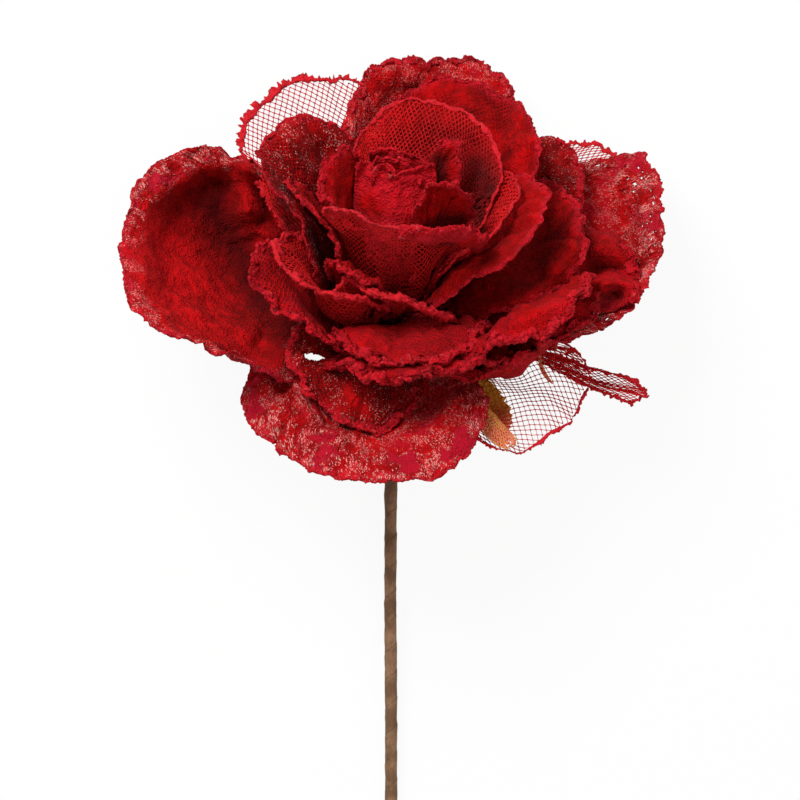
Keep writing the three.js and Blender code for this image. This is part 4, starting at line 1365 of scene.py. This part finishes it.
def net_piece(name, node, kind, points, u, v, seed, look):
    """Open net: a closed rod for each thread between two crossings, and a rim of crumbled pulp rolled over
    the cut ends. A net that a leaf is sewn over ends where the leaf begins."""
    start, end, n, way = lattice(points, u, v, look["pitch"], seed + 91)
    sewn = look.get("sewn_over", False)
    gone = leaf_outline if sewn else look.get("cut")
    if gone:
        kept = ~inside_of(*seen_at((start + end) / 2), gone)
        start, end, n, way = start[kept], end[kept], n[kept], way[kept]
    if kind == "gold":
        leaf_outline.extend(zip(*(line.tolist() for line in seen_at(border_of(points)))))
        way = smooth((way - 0.68) / 0.27)
    ahead = unit(end - start)
    side = unit(np.cross(ahead, n))
    gilt = inside_of(*seen_at((start + end) / 2), GILT) * float(sewn)
    radius = (look["thread"] * (1 + 0.7 * gilt))[:, None, None]
    threads, faces = rods(start, end, side, np.cross(side, ahead), radius, look["flare"], look["flat"])
    per = len(threads) // len(start)
    # Strokes of painted light raise the threads' tone and strokes of painted shade darken them.
    painted_light, painted_dark = paint_shading(threads, PAINTED_SHADING.get(node, []))
    marks = {
        "edge": np.zeros(len(threads)),
        "tone": np.repeat(way, per) + painted_light,
        "painted_shade": np.maximum(root_shade(polar(threads)[1]), painted_dark),
        "gilt": np.repeat(gilt, per),
        "down": smooth((seen_at(threads)[1] - 396) / 26),
    }
    body = (threads, faces, np.zeros((len(threads), 2)), marks)
    first = np.searchsorted(v, 0.3)
    line, turn = border_of(points, first), border_of(normals(points), first)
    if "cut" in look:
        kept = ~inside_of(*seen_at(line), look["cut"])
        line, turn = line[kept], turn[kept]
    rim, rim_faces, share, proud = crumbs(line, turn, look, seed + 41)
    ends = np.interp(share * (len(line) - 1), np.arange(len(line)), polar(line)[1])
    # The crumbs' pink grows with how proud they stand, a painted highlight, and the gaps between them get
    # painted shade.
    rim_marks = {
        "edge": 0.5 + 0.5 * proud,
        "tone": np.full(len(rim), 0.8),
        "painted_shade": np.maximum(root_shade(ends), 0.6 * smooth((0.42 - proud) / 0.4)),
        "gilt": 0 * proud,
        "down": 0 * proud,
    }
    rim_part = (rim, rim_faces, np.zeros((len(rim), 2)), rim_marks)
    piece, half_surface = joined_piece(name, node, kind, body, rim_part)
    declare_net(points, half_surface, [gold_shred(), gold_backing(points)] if sewn else [])


def gold_piece(name, points, faces, salmon):
    """Piece of gold crepe without a node of its own; salmon is how far each point's colour is from gold."""
    marks = {"edge": 0 * salmon, "tone": salmon, "painted_shade": 0 * salmon}
    mesh = make_mesh(name, points, faces, np.zeros((len(points), 2)), marks)
    return add_piece(name, mesh, None, MATERIALS["gold"])


def gold_backing(points):
    """Gold crepe of the leaf behind the net: the net's own surface where the leaf shows, 0.9 mm further out,
    gold above and salmon towards its tip."""
    middle = (points[1:, 1:] + points[:-1, :-1]) / 2
    keep = inside_of(*seen_at(middle), GILT)
    both, faces = two_sided(points + 0.9 * normals(points), np.full(points.shape[:2], 0.25), keep)
    salmon = smooth((seen_at(both)[1] - 398) / 30)
    return gold_piece("gold_leaf_backing", on_floor(lay_down(both)), faces, salmon)


def gold_shred():
    """Torn end of the gold net's cloth under the petals on the right: a strip that widens from its root,
    along a line bent with t cubed, and turns across on its way."""
    t, side = np.meshgrid(np.linspace(0, 1, 25), np.linspace(-1, 1, 5), indexing="ij")
    x, y = 537 + 2 * t + 12 * t**3, 348 + 35 * t
    half = 0.3 + 0.9 * t * np.sin(math.pi * np.clip(t * 1.02, 0, 1)) ** 0.7
    line = np.stack([(x - BASE_SEEN[0]) * PX, (BASE_SEEN[1] - y) * PX, 19 - 2 * t], -1) + BALL_TO_BASE
    across = np.stack([np.ones_like(t), 0.2 * t, 0.7 * np.sin(3 * t)], -1)
    points = line + half[..., None] * side[..., None] * across
    both, faces = two_sided(points, np.full(t.shape, 0.3))
    return gold_piece("gold_shred", picture_to_part(both), faces, np.full(len(both), 0.9))


def bud_finish(points, u, v):
    """The front of every turn leans back over the middle: it moves away from the viewer by 1.08 times its own
    radius times a share that grows with v and with the cosine of the direction. The inner turns end lower."""
    out = np.hypot(points[..., 0], points[..., 1])
    way = np.arctan2(points[..., 1], points[..., 0])
    facing = smooth((np.cos(way + 95 * RAD) + 0.4) / 1.15)
    last = smooth((u - 0.5) / 0.12)
    close = facing * smooth((v - 0.42) / 0.58) ** 1.1
    crimp = 1.0 * field(3, 16 * u, 2.5 * v) + 0.35 * field(4, 45 * u, 5.5 * v)
    fold = (2.0 * field(5, 9 * u, 0.5) + 1.0 * field(6, 26 * u, 0.5)) * v**4
    new = out + crimp * v**2
    back = 1.08 * out * close
    low = (1 - last) * (3 + 13 * facing) * v**2
    x = new * np.cos(way) + back * math.cos(85 * RAD)
    y = new * np.sin(way) + back * math.sin(85 * RAD)
    return np.stack([x, y, points[..., 2] - low + fold + 3.0 * close * (1 - close) * 4 * last], -1)


def turned(profile, sides, spread):
    """Closed ring of a closed profile turned about the stem line: profile rows are distance down the stem and
    radius, and spread(row, angle) is added to the radius."""
    angle = np.arange(sides) * 2 * math.pi / sides
    down, radius = profile[:, :1], profile[:, 1:] + spread(profile[:, :1], angle[None])
    along = np.broadcast_to(-down, radius.shape)
    points = np.stack([radius * np.sin(angle), along, radius * np.cos(angle)], -1)
    index = np.arange(points.shape[0] * sides).reshape(points.shape[0], sides)
    after, beside = np.roll(index, -1, 0), np.roll(index, -1, 1)
    faces = np.stack([index, beside, np.roll(beside, -1, 0), after], -1).reshape(-1, 4)
    flat = np.stack(np.broadcast_arrays(angle[None] / (2 * math.pi), down * MM), -1)
    return points, faces, flat.reshape(-1, 2)


def stem_wrap():
    """Paper tape wound down the wire: the radius steps up by the tape's edge once in each turn of a helix and
    wrinkles a little, and the stem wavers from its line by under half a millimetre."""
    bore = WIRE_DIAMETER / 2 + FIT
    top, end = BALL_RADIUS + FIT + TAPE + FIT, BALL_RADIUS + STEM_LENGTH
    rows = 300
    outer = np.stack([np.linspace(top, end, rows), np.full(rows, STEM_DIAMETER / 2 - 0.12)], -1)
    inner = np.stack([np.linspace(end, top, 12), np.full(12, bore)], -1)

    def spread(down, angle):
        outside = np.arange(len(down))[:, None] < rows
        turn = (down / TAPE_PITCH + angle / (2 * math.pi)) % 1
        step = 0.15 * (1 - turn) * smooth(turn / 0.08)
        wrinkle = 0.09 * field(61, down / 2.2, np.cos(angle) * 1.5 + 5, np.sin(angle) * 1.5)
        wrinkle = wrinkle + 0.12 * field(62, down / 7.0, np.cos(angle) + 5, np.sin(angle))
        bulge = 0.3 * np.exp(-(((down - 60) / 5) ** 2))
        return np.where(outside, step + wrinkle + bulge, 0)

    points, faces, flat = turned(np.concatenate([outer, inner]), 28, spread)
    down = -points[..., 1]
    waver = smooth((down - 20) / 40) * smooth((end - down) / 40)
    points[..., 0] += waver * 0.5 * field(63, down / 34.0, 0.5)
    points[..., 2] += waver * 0.4 * field(64, down / 30.0, 0.5)
    mesh = make_mesh("stem_paper", on_floor(picture_to_part(points.reshape(-1, 3))), faces, flat)
    return add_piece("stem_paper", mesh, "stem_paper_wrap", PAPER)


def neck_tape():
    """Tape pressed over the underside of the glue ball, wrinkled where it gathers towards the wire."""
    inside = BALL_RADIUS + FIT
    start = math.asin((WIRE_DIAMETER / 2 + FIT) / inside)
    rows = 30
    arc = np.linspace(start, TAPE_COVER * RAD, rows)
    outer = np.stack([(inside + TAPE) * np.cos(arc), (inside + TAPE) * np.sin(arc)], -1)
    inner = np.stack([inside * np.cos(arc[::-1]), inside * np.sin(arc[::-1])], -1)

    def spread(down, angle):
        outside = np.arange(len(down))[:, None] < rows
        pleat = 0.2 * field(66, down / 3.0, np.cos(angle) * 3 + 5, np.sin(angle) * 3)
        return np.where(outside, pleat, 0)

    points, faces, flat = turned(np.concatenate([outer, inner]), 48, spread)
    mesh = make_mesh("neck_paper", picture_to_part(points.reshape(-1, 3)), faces, flat)
    return add_piece("neck_paper", mesh, "neck_paper_tape", PAPER)


def collar_fold(points, u, v):
    """Part of the front net's rim folded over: a strip that stands up to 5 mm above the rim, straight on from
    the net, and hangs down outside it, standing off by 1 mm and half a sine wave of its own width."""
    across, down = np.meshgrid(np.linspace(0.08, 0.9, 61), np.linspace(0, 1, 21), indexing="ij")
    wide = np.sin(math.pi * np.clip((across - 0.02) / 0.94, 0, 1)) ** 0.6
    at = 1 + wide * (0.055 - 0.16 * down)
    spots = read(points, u, v, across, np.minimum(at, 1))
    facing = read(normals(points), u, v, across, np.minimum(at, 1))
    ahead = read(points, u, v, across, np.ones_like(at)) - read(points, u, v, across, np.full_like(at, 0.97))
    spots = spots + ahead * (np.maximum(at - 1, 0) / 0.03)[..., None]
    stand = 1.0 + 3.2 * np.sin(math.pi * down * 0.62) + 0.7 * field(81, across * 9, down * 2)
    fold = (spots + facing * stand[..., None])[:, ::-1]
    look = dict(USUAL["pulp"], crumb=0.7, weave=0.9, tone=0.8, crumple=0.25, dark_to=0, blush=0.9)
    pulp_sheet("net_collar_fold", None, "pulp", fold, 95, look)


stem_wrap()
neck_tape()
for node, material in (("stem_wire", STEEL), ("glue_core", GLUE)):
    solid = bpy.data.objects[node]
    solid.data.materials.clear()
    solid.data.materials.append(material)

# Build from the bud outwards, each petal first as coarse as its solid is, then as it looks. A grid has this
# many points across and along, and a petal is large when its reach times its half width is more than LARGE.
# STEPS are the places recorded to each side of a quad when it is laid.
GRIDS = {"glitter": (141, 96), "large": (85, 60), "small": (69, 50)}
COARSE_STEPS, FINE_STEPS = 8, 2
BUD_SEED, FIRST_SEED, SEEDS_EACH = 100, 200, 60
LARGE = 4000
coarse = Layers(turns=180, rings=70)
fine = Layers(turns=300, rings=130)
bud_u, bud_v = np.meshgrid(np.linspace(0, 1, 35), np.linspace(0, 1, 7), indexing="ij")
coarse.lay(bud_surface(bud_u, bud_v), COARSE_STEPS)

bud_u, bud_v = np.linspace(0, 1, 260)[:, None], outward(52)[None, :]
bud = bud_finish(bud_surface(bud_u, bud_v), bud_u, bud_v)
pulp_sheet("bud_roll", "rolled_bud", "pulp", bud, BUD_SEED, {**USUAL["pulp"], **LOOKS["rolled_bud"]})
fine.lay(bud, FINE_STEPS)

for number, (name, kind, around, half, reach, drop, root, lean, more) in enumerate(PETALS):
    net = petal_net(around, half, reach, drop, root, lean, **more)
    net = root_on_core(clear(seat(net, coarse), coarse))
    coarse.lay(net, COARSE_STEPS)
    seed = FIRST_SEED + SEEDS_EACH * number
    look = {**USUAL[kind], **LOOKS.get(name, {})}
    columns, rows = GRIDS["glitter" if kind == "glitter" else "large" if reach * half > LARGE else "small"]
    u, v = clustered(columns), outward(rows)
    low, high = look.get("trim", (-1, 1))
    points = finer(net, low + (high - low) * (u + 1) / 2, v)
    points = ruffle(points, seed, u, v, look)
    free = smooth((v[None, :] - 0.15) / 0.35)
    if look.get("hollow"):
        depth = look["hollow"] * smooth((edge_distance(points) - 7) / 14) * free
        points = points - TOWARD_VIEWER * depth[..., None]
    points = press(points, PRESSED.get(name, []), free)
    points = stand_clear(points, fine, look.get("gap", 1.4))
    fine.lay(points, FINE_STEPS, look.get("cut"))
    if kind in ("net", "gold"):
        net_piece(name + "_open", name, kind, points, u, v, seed, look)
        if name == "net_petal_front":
            collar_fold(points, u, v)
    else:
        pulp_sheet(name + "_sheet", name, kind, points, seed, look)

# Floor and light
FLOOR_HALF_METRES = 3
corners = FLOOR_HALF_METRES * np.array([[-1, -1, 0], [1, -1, 0], [1, 1, 0], [-1, 1, 0]], float)
floor_mesh = make_mesh("floor", corners, np.array([[0, 1, 2, 3]]))
floor = bpy.data.objects.new("floor", floor_mesh)
bpy.context.scene.collection.objects.link(floor)
white = {"Base Color": (0.86, 0.86, 0.86, 1), "Roughness": 0.9}
floor_material, floor_net, floor_shader = new_material("floor_white", white)
path = floor_net.add("ShaderNodeLightPath").outputs
mirrored = floor_net.most(path["Is Glossy Ray"], path["Is Transmission Ray"])
seen = floor_net.times(floor_net.most(path["Is Camera Ray"], mirrored), 0.92)
glow = floor_net.add("ShaderNodeEmission", {"Color": (1, 1, 1, 1), "Strength": 1.0})
blend = floor_net.add("ShaderNodeMixShader", {0: seen, 1: floor_shader.outputs[0], 2: glow.outputs[0]})
floor_net.tree.links.new(blend.outputs[0], floor_material.node_tree.nodes["Material Output"].inputs[0])
floor_mesh.materials.append(floor_material)

world = bpy.data.worlds.new("studio")
bpy.context.scene.world = world
world.use_nodes = True
sky = world.node_tree.nodes["Background"].inputs
sky["Color"].default_value = (1, 1, 1, 1)
sky["Strength"].default_value = 0.4


BLOOM_AT = np.array([0, 0.05, 0.05])


def lamp(name, spot, size, power):
    """Square soft light at a place given in the part's frame in metres, aimed at the bloom."""
    data = bpy.data.lights.new(name, "AREA")
    data.size, data.energy = size, power
    light = bpy.data.objects.new(name, data)
    light.location = spot
    away = unit(np.array(spot) - BLOOM_AT)
    pitch = math.acos(away[2])
    light.rotation_euler = (pitch, 0, math.atan2(away[1], away[0]) + math.pi / 2)
    bpy.context.scene.collection.objects.link(light)


lamp("key", (-0.5, 0.75, 1.1), 0.6, 17)
lamp("fill", (0.7, -0.4, 1.1), 1.0, 4)
bpy.context.scene.view_settings.view_transform = "Standard"
